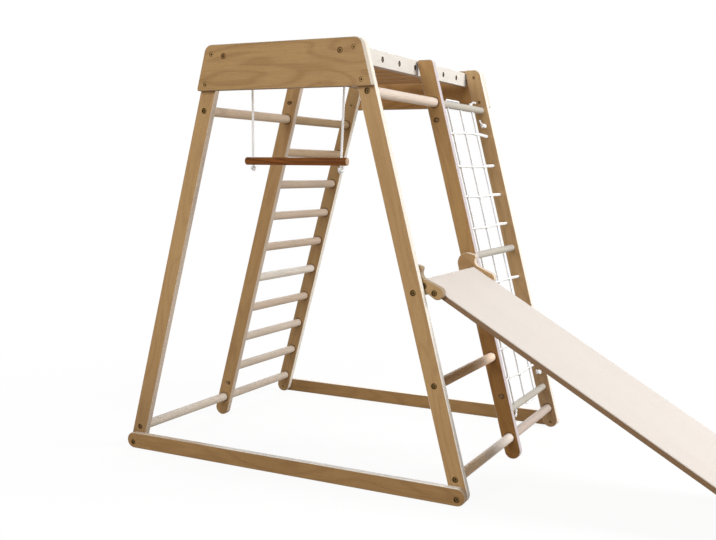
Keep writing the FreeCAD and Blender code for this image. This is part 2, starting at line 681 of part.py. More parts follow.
# Hooks: a round head with a shoulder over the dowel, a finger behind it, and a lobe bolted to the slide.


def beside_slide(along, above):
    """A place given along and above the slide, seen from the dowel axis with X across and Z up."""
    x = along * math.cos(slide_angle) + above * math.sin(slide_angle)
    z = above * math.cos(slide_angle) - along * math.sin(slide_angle)
    return Vector(x, z, 0)


def polar(centre, radius, angle):
    return centre + Vector(math.cos(angle), math.sin(angle), 0) * radius


def bearing(start, end):
    return math.atan2(end.y - start.y, end.x - start.x)


def arc(centre, radius, start, end):
    """An arc from one angle to another, turning the short or the long way as the numbers say."""
    middle = (start + end) / 2
    return Part.Arc(polar(centre, radius, start), polar(centre, radius, middle), polar(centre, radius, end))


def hook_outline():
    head = Vector(-size("hook_horn_back"), size("hook_horn_rise"), 0)
    head_r = size("hook_horn_radius")
    shoulder = Vector(size("hook_shoulder_ahead"), size("hook_shoulder_rise"), 0)
    shoulder_r = size("hook_shoulder_radius")
    lobe = beside_slide(size("hook_bolt_outer") + size("hook_lobe_end"), edge_line + size("hook_lobe_lift"))
    lobe_r = size("hook_lobe_radius")
    neck_r = size("hook_neck_radius")
    dowel_axis = Vector(0, 0, 0)
    seat_r = size("dowel_diameter") / 2 + size("hook_fit")
    finger_r = size("hook_finger_width") / 2
    finger = Vector(-seat_r - finger_r, -size("hook_finger_drop"), 0)
    half_turn = math.pi
    # The back edge touches the finger's round end and the head, and the brow touches head and shoulder.
    back = bearing(finger, head) + math.acos((finger_r - head_r) / finger.distanceToPoint(head))
    brow = bearing(head, shoulder) + math.acos((head_r - shoulder_r) / head.distanceToPoint(shoulder))
    # The hollow touches the shoulder, and a straight edge runs from under it to the top of the lobe.
    neck_fall = -math.radians(size("hook_neck_fall"))
    neck = polar(shoulder, shoulder_r + neck_r, neck_fall)
    crossing = math.acos((neck_r + lobe_r) / neck.distanceToPoint(lobe))
    under_neck = bearing(neck, lobe) - crossing
    # A straight edge touches the seat from above and the lobe from below.
    reach = dowel_axis.distanceToPoint(lobe)
    seat_end = bearing(dowel_axis, lobe) + math.acos((seat_r + lobe_r) / reach)
    return [
        Part.LineSegment(polar(finger, finger_r, back), polar(head, head_r, back)),
        arc(head, head_r, back, brow),
        Part.LineSegment(polar(head, head_r, brow), polar(shoulder, shoulder_r, brow)),
        arc(shoulder, shoulder_r, brow, neck_fall),
        arc(neck, neck_r, neck_fall + half_turn, under_neck + 2 * half_turn),
        Part.LineSegment(polar(neck, neck_r, under_neck), polar(lobe, lobe_r, under_neck + half_turn)),
        arc(lobe, lobe_r, under_neck + half_turn, seat_end - half_turn),
        Part.LineSegment(polar(lobe, lobe_r, seat_end - half_turn), polar(dowel_axis, seat_r, seat_end)),
        arc(dowel_axis, seat_r, seat_end, half_turn),
        Part.LineSegment(polar(dowel_axis, seat_r, half_turn), polar(finger, finger_r, 0)),
        arc(finger, finger_r, 0, back - 2 * half_turn),
    ]


hook_centres = [(point.x, point.y) for point in (beside_slide(*place) for place in edge_bolts)]
for name, y, bolt_face in (("near", y_hook_near, None), ("far", y_hook_far, ply)):
    place = Placement(Vector(slide_x, y, size("slide_hang")), Rotation())
    hook = board(f"slide_hook_{name}", hook_outline(), place)
    bolt_seats(hook, "bolts", hook_centres, bolt_face)
hook_places = [(slide_x + x, size("slide_hang") + z) for x, z in hook_centres]
bolts = copies(deep_grain_bolt, at_y(y_hook_near + deep_lip, hook_places), ALONG_Y)
bolts += copies(deep_grain_bolt, at_y(y_hook_far + ply - deep_lip, hook_places), AGAINST_Y)
group("slide_hook_bolts", bolts)

# Every object has to be sound before anything is written.
doc.recompute()
for item in doc.Objects:
    if "Invalid" in item.State or "Error" in item.State:
        raise RuntimeError(f"{item.Label} failed: {item.State}")
for node in nodes:
    if node.Shape.isNull() or not node.Shape.isValid():
        raise RuntimeError(f"{node.Label} has no sound shape")
os.makedirs("parts", exist_ok=True)
for node in nodes:
    node.Shape.exportStep(f"parts/{node.Label}.step")
print(f"{len(nodes)} nodes, slide at {math.degrees(slide_angle):.2f} degrees")
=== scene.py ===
import math

import bpy
from mathutils import Matrix, Vector


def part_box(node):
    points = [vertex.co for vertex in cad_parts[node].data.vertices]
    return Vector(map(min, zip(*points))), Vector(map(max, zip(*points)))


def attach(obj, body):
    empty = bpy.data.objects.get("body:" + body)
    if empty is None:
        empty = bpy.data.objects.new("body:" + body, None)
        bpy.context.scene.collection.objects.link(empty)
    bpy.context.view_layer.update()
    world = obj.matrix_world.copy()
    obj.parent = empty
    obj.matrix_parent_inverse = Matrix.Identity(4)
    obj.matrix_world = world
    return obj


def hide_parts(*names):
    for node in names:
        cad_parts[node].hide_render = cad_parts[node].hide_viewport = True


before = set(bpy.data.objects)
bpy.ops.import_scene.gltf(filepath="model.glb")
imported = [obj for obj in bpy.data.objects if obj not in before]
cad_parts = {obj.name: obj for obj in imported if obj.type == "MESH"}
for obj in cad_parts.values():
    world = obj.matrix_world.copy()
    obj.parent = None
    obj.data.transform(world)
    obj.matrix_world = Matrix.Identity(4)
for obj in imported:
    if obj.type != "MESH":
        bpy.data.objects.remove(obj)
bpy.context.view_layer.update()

# Floor rails: two birch plywood strips with round ends, rounded over along their edges and lacquered. They
# lie on the floor under the front and back legs. Veneer runs along their faces, and the plies show on the
# edges. Their faces are painted darker, as painted shade near the floor, and their edges paler, partly as
# painted light. The front rail's cut ends are darkened with painted shade, and so is the left part of its
# edges.
ACROSS = Vector((1, 0, 0))
THROUGH = Vector((0, 1, 0))
UPWARDS = Vector((0, 0, 1))
GROWTH_STRETCH = (1.7, 8.0, 8.0)
GROWTH_TURNS = 75.0
GROWTH_SHARPNESS = 3.0
STREAK_STRETCH = (5.0, 260.0, 260.0)
STREAK_SHARE = 0.45
CLOUD_STRETCH = (2.2, 7.0, 7.0)
CLOUD_SHARE = 0.35
PORE_STRETCH = (60.0, 1000.0, 1000.0)
PORE_SHADE = (0.25, 0.14, 0.06, 1.0)
PLY_PAIR = 0.0028
PLY_WOBBLE = 0.0004
WOBBLE_STRETCH = (30.0, 30.0, 30.0)
PLY_FIBRE_STRETCH = (90.0, 900.0, 900.0)


def node(tree, kind, inputs=None, **settings):
    """Add a shader node, with its settings and its inputs as values or as links."""
    made = tree.nodes.new("ShaderNode" + kind)
    for name, value in settings.items():
        setattr(made, name, value)
    for socket, value in (inputs or {}).items():
        if isinstance(value, bpy.types.NodeSocket):
            tree.links.new(value, made.inputs[socket])
        else:
            made.inputs[socket].default_value = value
    return made


def math_node(tree, operation, first, second=0.0):
    return node(tree, "Math", {0: first, 1: second}, operation=operation).outputs[0]


def blend_colours(tree, share, first, second, way="MIX"):
    mix = node(tree, "Mix", {0: share, 6: first, 7: second}, data_type="RGBA", blend_type=way)
    return mix.outputs[2]


def darkened(tree, share, colour, tint):
    return blend_colours(tree, share, colour, tint, "MULTIPLY")


def ramp(tree, value, low, high, at_low=0.0, at_high=1.0):
    return node(tree, "MapRange", {0: value, 1: low, 2: high, 3: at_low, 4: at_high}).outputs[0]


def contrast(tree, noise):
    """Noise with its middle part spread from nothing to one."""
    return ramp(tree, noise, low=0.3, high=0.7)


def new_material(name, roughness):
    material = bpy.data.materials.new(name)
    material.use_nodes = True
    tree = material.node_tree
    shader = tree.nodes["Principled BSDF"]
    shader.inputs["Roughness"].default_value = roughness
    return material, tree, shader


def new_group(name, inputs, outputs):
    """A node group with named sockets, given as pairs of a name and a kind."""
    group = bpy.data.node_groups.new(name, "ShaderNodeTree")
    for socket, kind in inputs:
        group.interface.new_socket(socket, in_out="INPUT", socket_type="NodeSocket" + kind)
    for socket, kind in outputs:
        group.interface.new_socket(socket, in_out="OUTPUT", socket_type="NodeSocket" + kind)
    return group, group.nodes.new("NodeGroupInput"), group.nodes.new("NodeGroupOutput")


def stretched_noise(tree, place, stretch, detail, roughness=0.5):
    scaled = node(tree, "VectorMath", {0: place, 1: stretch}, operation="MULTIPLY").outputs[0]
    settings = {"Vector": scaled, "Scale": 1.0, "Detail": detail, "Roughness": roughness}
    return node(tree, "TexNoise", settings).outputs[0]


def wood_figure():
    """Grain of a planed piece: growth lines, fine streaks, broad clouds and short pores along X."""
    group, given, made = new_group(
        "wood figure",
        [("Place", "Vector"), ("Pale", "Color"), ("Deep", "Color"), ("Lines", "Float"), ("Pores", "Float")],
        [("Colour", "Color"), ("Height", "Float")])
    place = given.outputs["Place"]
    drift = stretched_noise(group, place, GROWTH_STRETCH, detail=2.0, roughness=0.45)
    wave = math_node(group, "SINE", math_node(group, "MULTIPLY", drift, GROWTH_TURNS))
    line = math_node(group, "POWER", ramp(group, wave, low=-1.0, high=1.0), GROWTH_SHARPNESS)
    streak = stretched_noise(group, place, STREAK_STRETCH, detail=4.0, roughness=0.62)
    cloud = stretched_noise(group, place, CLOUD_STRETCH, detail=2.0)
    pore = ramp(group, stretched_noise(group, place, PORE_STRETCH, detail=1.0), low=0.60, high=0.72)
    tone = math_node(group, "MULTIPLY", line, given.outputs["Lines"])
    for noise, share in ((streak, STREAK_SHARE), (cloud, CLOUD_SHARE)):
        part = math_node(group, "MULTIPLY", contrast(group, noise), share)
        tone = math_node(group, "ADD", tone, part)
    colour = blend_colours(group, tone, given.outputs["Pale"], given.outputs["Deep"])
    in_pore = math_node(group, "MULTIPLY", pore, given.outputs["Pores"])
    group.links.new(darkened(group, in_pore, colour, PORE_SHADE), made.inputs["Colour"])
    group.links.new(math_node(group, "SUBTRACT", streak, pore), made.inputs["Height"])
    return group


def ply_stack():
    """The plies on a sawn edge: thin long-grain layers between darker end-grain ones."""
    group, given, made = new_group(
        "ply stack",
        [("Depth", "Float"), ("Place", "Vector"), ("Pale", "Color"), ("Deep", "Color")],
        [("Colour", "Color"), ("Height", "Float")])
    wobble = stretched_noise(group, given.outputs["Place"], WOBBLE_STRETCH, detail=2.0)
    shift = math_node(group, "MULTIPLY", wobble, PLY_WOBBLE)
    depth = math_node(group, "ADD", given.outputs["Depth"], shift)
    layer = math_node(group, "PINGPONG", depth, PLY_PAIR / 2)
    dark_ply = ramp(group, layer, low=PLY_PAIR * 0.22, high=PLY_PAIR * 0.28)
    fibre = stretched_noise(group, given.outputs["Place"], PLY_FIBRE_STRETCH, detail=2.0)
    tone = math_node(group, "MULTIPLY", dark_ply, ramp(group, fibre, low=0.2, high=0.55))
    colour = blend_colours(group, tone, given.outputs["Pale"], given.outputs["Deep"])
    group.links.new(colour, made.inputs["Colour"])
    group.links.new(math_node(group, "MULTIPLY", dark_ply, -0.5), made.inputs["Height"])
    return group


figure = wood_figure()
plies = ply_stack()
SQUARE_FROM = 0.80
SQUARE_FULL = 0.95
BUMP_STRENGTH = 0.35


def part_along(tree, quantity, direction):
    """The part along a direction of a place, called Object, or of a surface's Normal."""
    coords = node(tree, "TexCoord").outputs[quantity]
    return node(tree, "VectorMath", {0: coords, 1: direction}, operation="DOT_PRODUCT").outputs["Value"]


def squareness(tree, direction):
    """One on surfaces square to a direction, and nothing on those that lie along it."""
    return math_node(tree, "ABSOLUTE", part_along(tree, "Normal", direction))


def towards(tree, direction, start, full):
    """Nothing up to the start along a direction, and one from the full reach on."""
    return ramp(tree, part_along(tree, "Object", direction), start, full)


def wood_place(tree, along, depth):
    """Coordinates along, across and through a piece."""
    parts = [part_along(tree, "Object", direction) for direction in (along, depth.cross(along), depth)]
    return node(tree, "CombineXYZ", dict(enumerate(parts))).outputs[0]


def bumped(tree, shader, height, distance):
    bump = node(tree, "Bump", {"Height": height, "Strength": BUMP_STRENGTH, "Distance": distance})
    tree.links.new(bump.outputs[0], shader.inputs["Normal"])


def deselect():
    bpy.ops.object.select_all(action="DESELECT")


def make_active(piece):
    deselect()
    piece.select_set(True)
    bpy.context.view_layer.objects.active = piece


def own_copy(piece, matrix):
    """A copy with its own mesh, moved by the matrix."""
    copy = piece.copy()
    copy.data = piece.data.copy()
    copy.data.transform(matrix)
    bpy.context.scene.collection.objects.link(copy)
    return copy


def solids_of(name):
    """The corner points of each separate solid in a group of the frame."""
    copy = own_copy(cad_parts[name], Matrix())
    make_active(copy)
    bpy.ops.object.mode_set(mode="EDIT")
    bpy.ops.mesh.select_all(action="SELECT")
    bpy.ops.mesh.remove_doubles(threshold=1e-6)
    bpy.ops.mesh.separate(type="LOOSE")
    bpy.ops.object.mode_set(mode="OBJECT")
    solids = []
    for part in list(bpy.context.selected_objects):
        solids.append([vertex.co.copy() for vertex in part.data.vertices])
        bpy.data.objects.remove(part)
    return solids


def span(points):
    low = Vector(min(point[i] for point in points) for i in range(3))
    high = Vector(max(point[i] for point in points) for i in range(3))
    return low, high


FLUSH_RADIUS = 0.0065
LEAST_DEEP = 0.0066
RIM_SHARE = 0.9
RIM_RADIUS = 0.0068
HOLE_RADIUS = 0.0085
HOLE_FADE = 0.0012


def bolt_place(points):
    """The middle of the outer face of a bolt's head, the way it points inwards, and the head's radius."""
    low, high = span(points)
    centre = (low + high) / 2
    axis = max(range(3), key=lambda i: high[i] - low[i])
    inwards = Vector((0, 0, 0))
    inwards[axis] = 1.0
    offsets = [point - centre - inwards * (point - centre)[axis] for point in points]
    radius = max(offset.length for offset in offsets)
    rim = [point[axis] for point, offset in zip(points, offsets) if offset.length > radius * RIM_SHARE]
    if sum(rim) / len(rim) > centre[axis]:
        inwards.negate()
    return centre - inwards * (high[axis] - low[axis]) / 2, inwards, radius


def bolt_holes(name, smallest=LEAST_DEEP, hole=HOLE_RADIUS):
    """Where the bolts of a group sit, from that head radius up, with the radius of their holes."""
    places = [bolt_place(points) for points in solids_of(name)]
    return [(face, hole, HOLE_FADE) for face, inwards, radius in places if radius > smallest]


def ring_shade_mask(tree, depth, rings):
    """One in the bolt holes and close round the dowels, fading out at their rims: the mask of painted shade
    there.
    """
    coords = node(tree, "TexCoord").outputs["Object"]
    level = Vector((1, 1, 1)) - depth
    shade = 0.0
    for centre, radius, fade in rings:
        offset = node(tree, "VectorMath", {0: coords, 1: centre}, operation="SUBTRACT").outputs[0]
        flat = node(tree, "VectorMath", {0: offset, 1: level}, operation="MULTIPLY").outputs[0]
        reach = node(tree, "VectorMath", {0: flat}, operation="LENGTH").outputs["Value"]
        inside = ramp(tree, reach, low=radius, high=radius + fade, at_low=1.0, at_high=0.0)
        shade = math_node(tree, "MAXIMUM", inside, shade)
    return shade


LACQUER_ROUGHNESS = 0.55
LACQUER_GLOSS = 0.25
PLYWOOD_RELIEF = 0.0004
BIRCH = ((0.46, 0.29, 0.13, 1.0), (0.35, 0.205, 0.085, 1.0))
LIT_EDGE = ((0.80, 0.77, 0.71, 1.0), (0.64, 0.57, 0.48, 1.0))
# Painted shade for edges that face down.
UNDERSIDE_SHADE = (0.20, 0.105, 0.038, 1.0)
# Painted shade for bolt holes, bolt rims and the wood close round the dowels.
RING_SHADE = (0.125, 0.056, 0.017, 1.0)


def downward_shade(tree):
    """High on the undersides of edges, which painted shade darkens."""
    rise = part_along(tree, "Normal", UPWARDS)
    return ramp(tree, rise, low=-0.75, high=-0.35, at_low=0.85, at_high=0.0)


def plywood(name, along, depth, veneer=BIRCH, edge=LIT_EDGE, lines=0.35, rings=(), seats=(), top_ply=None,
            shaded_ends=None, painted_edge_shade=None, painted_foot_shade=None, pores=0.26):
    """Veneer on the two faces of a board, and its plies on the edges."""
    material, tree, shader = new_material(name, LACQUER_ROUGHNESS)
    shader.inputs["Specular IOR Level"].default_value = LACQUER_GLOSS
    place = wood_place(tree, along, depth)
    layer = part_along(tree, "Object", depth)
    grain = {"Place": place, "Pale": veneer[0], "Deep": veneer[1], "Lines": lines, "Pores": pores}
    face = node(tree, "Group", grain, node_tree=figure)
    layers = {"Place": place, "Depth": layer, "Pale": edge[0], "Deep": edge[1]}
    rim = node(tree, "Group", layers, node_tree=plies)
    sides = blend_colours(tree, downward_shade(tree), rim.outputs["Colour"], UNDERSIDE_SHADE)
    if top_ply:
        in_veneer = ramp(tree, layer, top_ply - PLY_PAIR * 1.3, top_ply - PLY_PAIR)
        sides = blend_colours(tree, in_veneer, sides, veneer[1])
    # Painted shade: the cut ends of the piece are darkened.
    if shaded_ends:
        at_end = ramp(tree, squareness(tree, along), low=0.02, high=0.45)
        sides = darkened(tree, at_end, sides, shaded_ends)
    # Painted shade: the edges darken along a direction, from a start to a full reach.
    if painted_edge_shade:
        direction, start, full, tint = painted_edge_shade
        sides = darkened(tree, towards(tree, direction, start, full), sides, tint)
    faces = face.outputs["Colour"]
    # Painted shade: the faces darken towards the foot.
    if painted_foot_shade:
        top, full, tint = painted_foot_shade
        faces = darkened(tree, towards(tree, UPWARDS, top, full), faces, tint)
    on_face = ramp(tree, squareness(tree, depth), SQUARE_FROM, SQUARE_FULL)
    colour = blend_colours(tree, on_face, sides, faces)
    # Painted shade in the bolt holes and round the bolt heads.
    if rings:
        colour = blend_colours(tree, ring_shade_mask(tree, depth, rings), colour, RING_SHADE)
    # Painted shade round the dowels, on the front faces only.
    if seats:
        on_front = ramp(tree, part_along(tree, "Normal", -THROUGH), low=0.2, high=0.6)
        shade = math_node(tree, "MULTIPLY", ring_shade_mask(tree, depth, seats), on_front)
        colour = blend_colours(tree, shade, colour, RING_SHADE)
    tree.links.new(colour, shader.inputs["Base Color"])
    height = node(tree, "Mix", {0: on_face, 2: rim.outputs["Height"], 3: face.outputs["Height"]})
    bumped(tree, shader, height.outputs[0], PLYWOOD_RELIEF)
    return material


def dress(material, *names):
    """Give frame pieces a finish in place of their plain one."""
    for name in names:
        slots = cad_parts[name].data.materials
        slots.clear()
        slots.append(material)


# Painted shade on the rails' faces, near the floor, and painted light on their edges.
SHADED_RAIL_BIRCH = ((0.38, 0.225, 0.090, 1.0), (0.27, 0.150, 0.055, 1.0))
LIT_RAIL_EDGE = ((0.95, 0.92, 0.86, 1.0), (0.82, 0.76, 0.68, 1.0))
# Painted shade on the front rail's cut ends, next to the legs.
RAIL_END_SHADE = (0.47, 0.36, 0.26, 1.0)
# Painted shade on the left part of the front rail's edges.
LEFT_SIDE_SHADE = (-ACROSS, 0.20, 0.32, (0.58, 0.49, 0.41, 1.0))
rail_holes = bolt_holes("floor_rail_bolts")
dress(plywood("front rail plywood", ACROSS, THROUGH, SHADED_RAIL_BIRCH, LIT_RAIL_EDGE, rings=rail_holes,
              shaded_ends=RAIL_END_SHADE, painted_edge_shade=LEFT_SIDE_SHADE), "front_floor_rail")
dress(plywood("back rail plywood", ACROSS, THROUGH, SHADED_RAIL_BIRCH, LIT_RAIL_EDGE), "back_floor_rail")

# Legs: six plywood strips with round feet, which lean together from the left and the right. The front and
# back ones are bolted flat on the rails and headers, and the middle ones hold the dowels in sockets. Painted
# shade darkens the bolt holes and the wood round the dowels, and three of the legs towards the foot. The
# leg tones differ as painted light and shade: the middle right leg is painted darker, the back right leg
# lighter, and the left legs' edges darker.
SEAT_RADIUS = 0.0155
SEAT_FADE = 0.0055
# Painted shade on the middle right leg, under the slide, and on the left beam.
SHADED_MIDDLE_BIRCH = ((0.51, 0.308, 0.122, 1.0), (0.38, 0.207, 0.076, 1.0))
MIDDLE_LEFT_BIRCH = ((0.505, 0.315, 0.14, 1.0), (0.385, 0.225, 0.092, 1.0))
# Painted light on the back right leg.
LIT_BACK_RIGHT_BIRCH = ((0.59, 0.39, 0.195, 1.0), (0.45, 0.275, 0.125, 1.0))
# The front right leg's edges are painted pale, as painted light against the slide's shadow on their lower
# part.
LIT_FRONT_EDGE = ((0.96, 0.93, 0.89, 1.0), (0.86, 0.81, 0.74, 1.0))
PINK_EDGE = ((0.55, 0.50, 0.515, 1.0), (0.44, 0.38, 0.39, 1.0))
# Painted shade on the edges of the left legs.
SHADED_EDGE = ((0.56, 0.48, 0.40, 1.0), (0.40, 0.31, 0.24, 1.0))
# Painted shade towards the feet of three legs.
FRONT_FOOT_SHADE = (0.30, 0.08, (0.74, 0.72, 0.71, 1.0))
MIDDLE_FOOT_SHADE = (0.50, 0.40, (0.62, 0.508, 0.338, 1.0))
BACK_FOOT_SHADE = (0.50, 0.30, (0.794, 0.785, 0.865, 1.0))
# Painted shade that brings the upper part of the front right leg's edges back down.
TOP_EDGE_SHADE = (UPWARDS, 0.40, 0.58, (0.76, 0.74, 0.70, 1.0))


def middle(name):
    low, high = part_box(name)
    return (Vector(low) + Vector(high)) / 2


def dowel_seats(*names):
    return [(middle(name), SEAT_RADIUS, SEAT_FADE) for name in names]


leg_line = middle("net_rung_top") - middle("net_base_dowel")
lean_right = leg_line.normalized()
lean_left = Vector((-lean_right.x, 0, lean_right.z))
rung_names = [f"ladder_rung_{i + 1}" for i in range(10)]
front_holes = bolt_holes("front_dowel_bolts")
back_holes = bolt_holes("back_dowel_bolts")
insert_holes = bolt_holes("spare_insert_bolts", 0.0)
insert_rims = bolt_holes("spare_insert_bolts", 0.0, RIM_RADIUS)
left_seats = dowel_seats("left_base_dowel", "left_top_dowel")
right_seats = dowel_seats("right_base_dowel", "step_dowel", "slide_dowel", "right_top_dowel")
rung_seats = dowel_seats(*rung_names)
net_seats = dowel_seats("net_base_dowel")
dress(plywood("front right leg plywood", lean_right, THROUGH, BIRCH, LIT_FRONT_EDGE, rings=front_holes,
              painted_edge_shade=TOP_EDGE_SHADE), "front_leg_right")
dress(plywood("middle right leg plywood", lean_right, THROUGH, SHADED_MIDDLE_BIRCH, PINK_EDGE,
              seats=right_seats + insert_holes, painted_foot_shade=MIDDLE_FOOT_SHADE), "middle_leg_right")
dress(plywood("back right leg plywood", lean_right, THROUGH, LIT_BACK_RIGHT_BIRCH, rings=back_holes,
              seats=net_seats, painted_foot_shade=BACK_FOOT_SHADE), "back_leg_right")
dress(plywood("front left leg plywood", lean_left, THROUGH, edge=SHADED_EDGE, rings=front_holes,
              painted_foot_shade=FRONT_FOOT_SHADE), "front_leg_left")
dress(plywood("middle left leg plywood", lean_left, THROUGH, MIDDLE_LEFT_BIRCH, SHADED_EDGE,
              seats=left_seats + insert_rims), "middle_leg_left")
dress(plywood("back left leg plywood", lean_left, THROUGH, rings=back_holes, seats=rung_seats),
      "back_leg_left")

# Headers: two round-cornered plywood boards across the tops of the front and back legs, with bold growth
# lines. The outer bolts hold the legs, and the inner ones, in wider rings of painted shade, hold the ends of
# the beams. The front header's edges are painted darker, as painted shade, and the back header lighter, as
# painted light.
BEAM_END_REACH = 0.21
HEADER_LINES = 0.55
HEADER_BIRCH = ((0.43, 0.265, 0.112, 1.0), (0.31, 0.18, 0.070, 1.0))
# Painted shade on the front header's edges.
SHADED_HEADER_EDGE = ((0.48, 0.425, 0.355, 1.0), (0.385, 0.32, 0.24, 1.0))
# Painted light on the back header.
LIT_BACK_HEADER_BIRCH = ((0.58, 0.33, 0.13, 1.0), (0.42, 0.225, 0.08, 1.0))
LIT_BACK_HEADER_EDGE = ((0.69, 0.66, 0.60, 1.0), (0.55, 0.48, 0.40, 1.0))
header_rims = bolt_holes("header_bolts", 0.0, RIM_RADIUS)
beam_end_rims = [(face, HOLE_RADIUS, fade) for face, rim, fade in header_rims if abs(face.x) < BEAM_END_REACH]
header_rims += beam_end_rims
dress(plywood("front header plywood", ACROSS, THROUGH, HEADER_BIRCH, SHADED_HEADER_EDGE, HEADER_LINES, header_rims),
      "front_header")
dress(plywood("back header plywood", ACROSS, THROUGH, LIT_BACK_HEADER_BIRCH, LIT_BACK_HEADER_EDGE, HEADER_LINES,
              header_rims), "back_header")

# Top beams: two plywood boards on edge between the headers. Their grain runs from front to back,
# and the bars between them are bolted through from outside. The right beam is painted pale, as painted
# light, and the left beam darker, as painted shade.
FAINT_PORES = 0.12
# Painted light on the right beam.
LIT_BEAM_BIRCH = ((0.66, 0.64, 0.605, 1.0), (0.60, 0.565, 0.52, 1.0))
bar_holes = bolt_holes("overhead_bar_bolts")
dress(plywood("left beam plywood", THROUGH, ACROSS, SHADED_MIDDLE_BIRCH, rings=bar_holes), "top_beam_left")
dress(plywood("right beam plywood", THROUGH, ACROSS, LIT_BEAM_BIRCH, rings=bar_holes, pores=FAINT_PORES),
      "top_beam_right")

# Dowels: overhead bars and side rungs, turned from beech, sanded and oiled, with short dark flecks along the
# grain. Their tones differ, most of them paler than the plywood. Most rungs from the fourth up, the slide
# dowel, the left top dowel and the overhead bars are painted darker, as painted shade under the top, and the
# base and step dowels on the right side are painted in shadow at the front and lit towards the back.
DOWEL_ROUGHNESS = 0.58
DOWEL_PORES = 0.38
DOWEL_RELIEF = 0.0003
RING_STRETCH = (40.0, 600.0, 600.0)
END_GRAIN = (0.79, 0.69, 0.575, 1.0)
DEEP_SHARES = (0.81, 0.76, 0.71)
SHADED_BEECH = ((0.42, 0.24, 0.10, 1.0), (0.31, 0.155, 0.055, 1.0))


def beech(*pale):
    """The tone of a beech piece and the deeper one of its grain."""
    deep = [tone * share for tone, share in zip(pale, DEEP_SHARES)]
    return (*pale, 1.0), (*deep, 1.0)


def turned_wood(name, along, grain_pair, end_grain, lines=0.15, gloss=0.3, painted_light_back=None):
    """Straight grain along a turned piece, and end grain where it is cut off."""
    material, tree, shader = new_material(name, DOWEL_ROUGHNESS)
    shader.inputs["Specular IOR Level"].default_value = gloss
    place = wood_place(tree, along, UPWARDS)
    pale, deep = grain_pair
    # Painted light: the tone turns lighter towards the back end.
    if painted_light_back:
        start, full, back_pair = painted_light_back
        share = towards(tree, along, start, full)
        pale = blend_colours(tree, share, pale, back_pair[0])
        deep = blend_colours(tree, share, deep, back_pair[1])
    settings = {"Place": place, "Pale": pale, "Deep": deep, "Lines": lines, "Pores": DOWEL_PORES}
    grain = node(tree, "Group", settings, node_tree=figure)
    at_end = ramp(tree, squareness(tree, along), SQUARE_FROM, SQUARE_FULL)
    rings = stretched_noise(tree, place, RING_STRETCH, detail=3.0)
    cut = blend_colours(tree, contrast(tree, rings), end_grain, grain_pair[1])
    tree.links.new(blend_colours(tree, at_end, grain.outputs["Colour"], cut), shader.inputs["Base Color"])
    bumped(tree, shader, grain.outputs["Height"], DOWEL_RELIEF)
    return material


# Painted light on the back ends of the right base and step dowels.
PALE_LIT_BACK = (0.14, 0.34, beech(0.80, 0.74, 0.69))
STEP_LIT_BACK = (0.28, 0.39, beech(0.93, 0.74, 0.58))
bars = [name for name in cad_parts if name.startswith("overhead_bar_") and not name.endswith("bolts")]
net_rungs = ["net_rung_lower", "net_rung_middle", "net_rung_top"]
# Painted shade on the upper rungs, the slide dowel and the left top dowel; the other tones are the wood's
# own.
dowel_finishes = [
    ("low rung beech", beech(0.587, 0.512, 0.436), rung_names[:3]),
    ("shaded high rung beech", beech(0.535, 0.436, 0.347), [rung_names[3], *rung_names[5:8]]),
    ("grey rung beech", beech(0.695, 0.655, 0.60), [rung_names[4]]),
    ("shaded tan rung beech", beech(0.485, 0.36, 0.238), [rung_names[8]]),
    ("shaded brown beech", beech(0.405, 0.29, 0.17), [rung_names[9], "slide_dowel"]),
    ("left base beech", beech(0.684, 0.62, 0.543), ["left_base_dowel"]),
    ("shaded left top beech", beech(0.626, 0.507, 0.392), ["left_top_dowel"]),
    ("right top beech", beech(0.666, 0.58, 0.507), ["right_top_dowel"]),
    ("net base beech", beech(0.498, 0.425, 0.378), ["net_base_dowel"]),
    ("net rung beech", beech(0.465, 0.449, 0.405), net_rungs),
]
for finish, tones, dowels in dowel_finishes:
    dress(turned_wood(finish, THROUGH, tones, END_GRAIN), *dowels)
dress(turned_wood("shaded beech", ACROSS, SHADED_BEECH, END_GRAIN), *bars)
# The right base dowel's front part is painted warm, as painted shade under the slide.
pale_beech = turned_wood("pale beech", THROUGH, beech(0.95, 0.73, 0.48), END_GRAIN, painted_light_back=PALE_LIT_BACK)
dress(pale_beech, "right_base_dowel")
# The step dowel's front part is painted dark, as painted shadow under the slide.
step_beech = turned_wood("step beech", THROUGH, beech(0.45, 0.255, 0.09), END_GRAIN, painted_light_back=STEP_LIT_BACK)
dress(step_beech, "step_dowel")

# Bolts: flat-headed connector bolts with a hex socket, burnished steel, screwed in flush or sunk in holes.
# Heads in two sizes and five finishes are modelled and copied to every place where the frame has a bolt.
# The other sunk heads are painted dark, as painted shade in their holes, and the heads on the beams pale, as
# a painted reflection.
DEEP_RADIUS = 0.007
HEAD_THICK = 0.003
RIM_ROUND = 0.0007
SOCKET_RADIUS = 0.0032
SOCKET_DEPTH = 0.0022
SHANK_RADIUS = 0.003
SHANK_LEFT = 0.004
SMOOTH_ANGLE = math.radians(35)
STEEL_ROUGHNESS = 0.45
STEEL_METALLIC = 0.2
STEEL_GLOSS = 0.2
PATINA_STRETCH = (420.0, 420.0, 420.0)
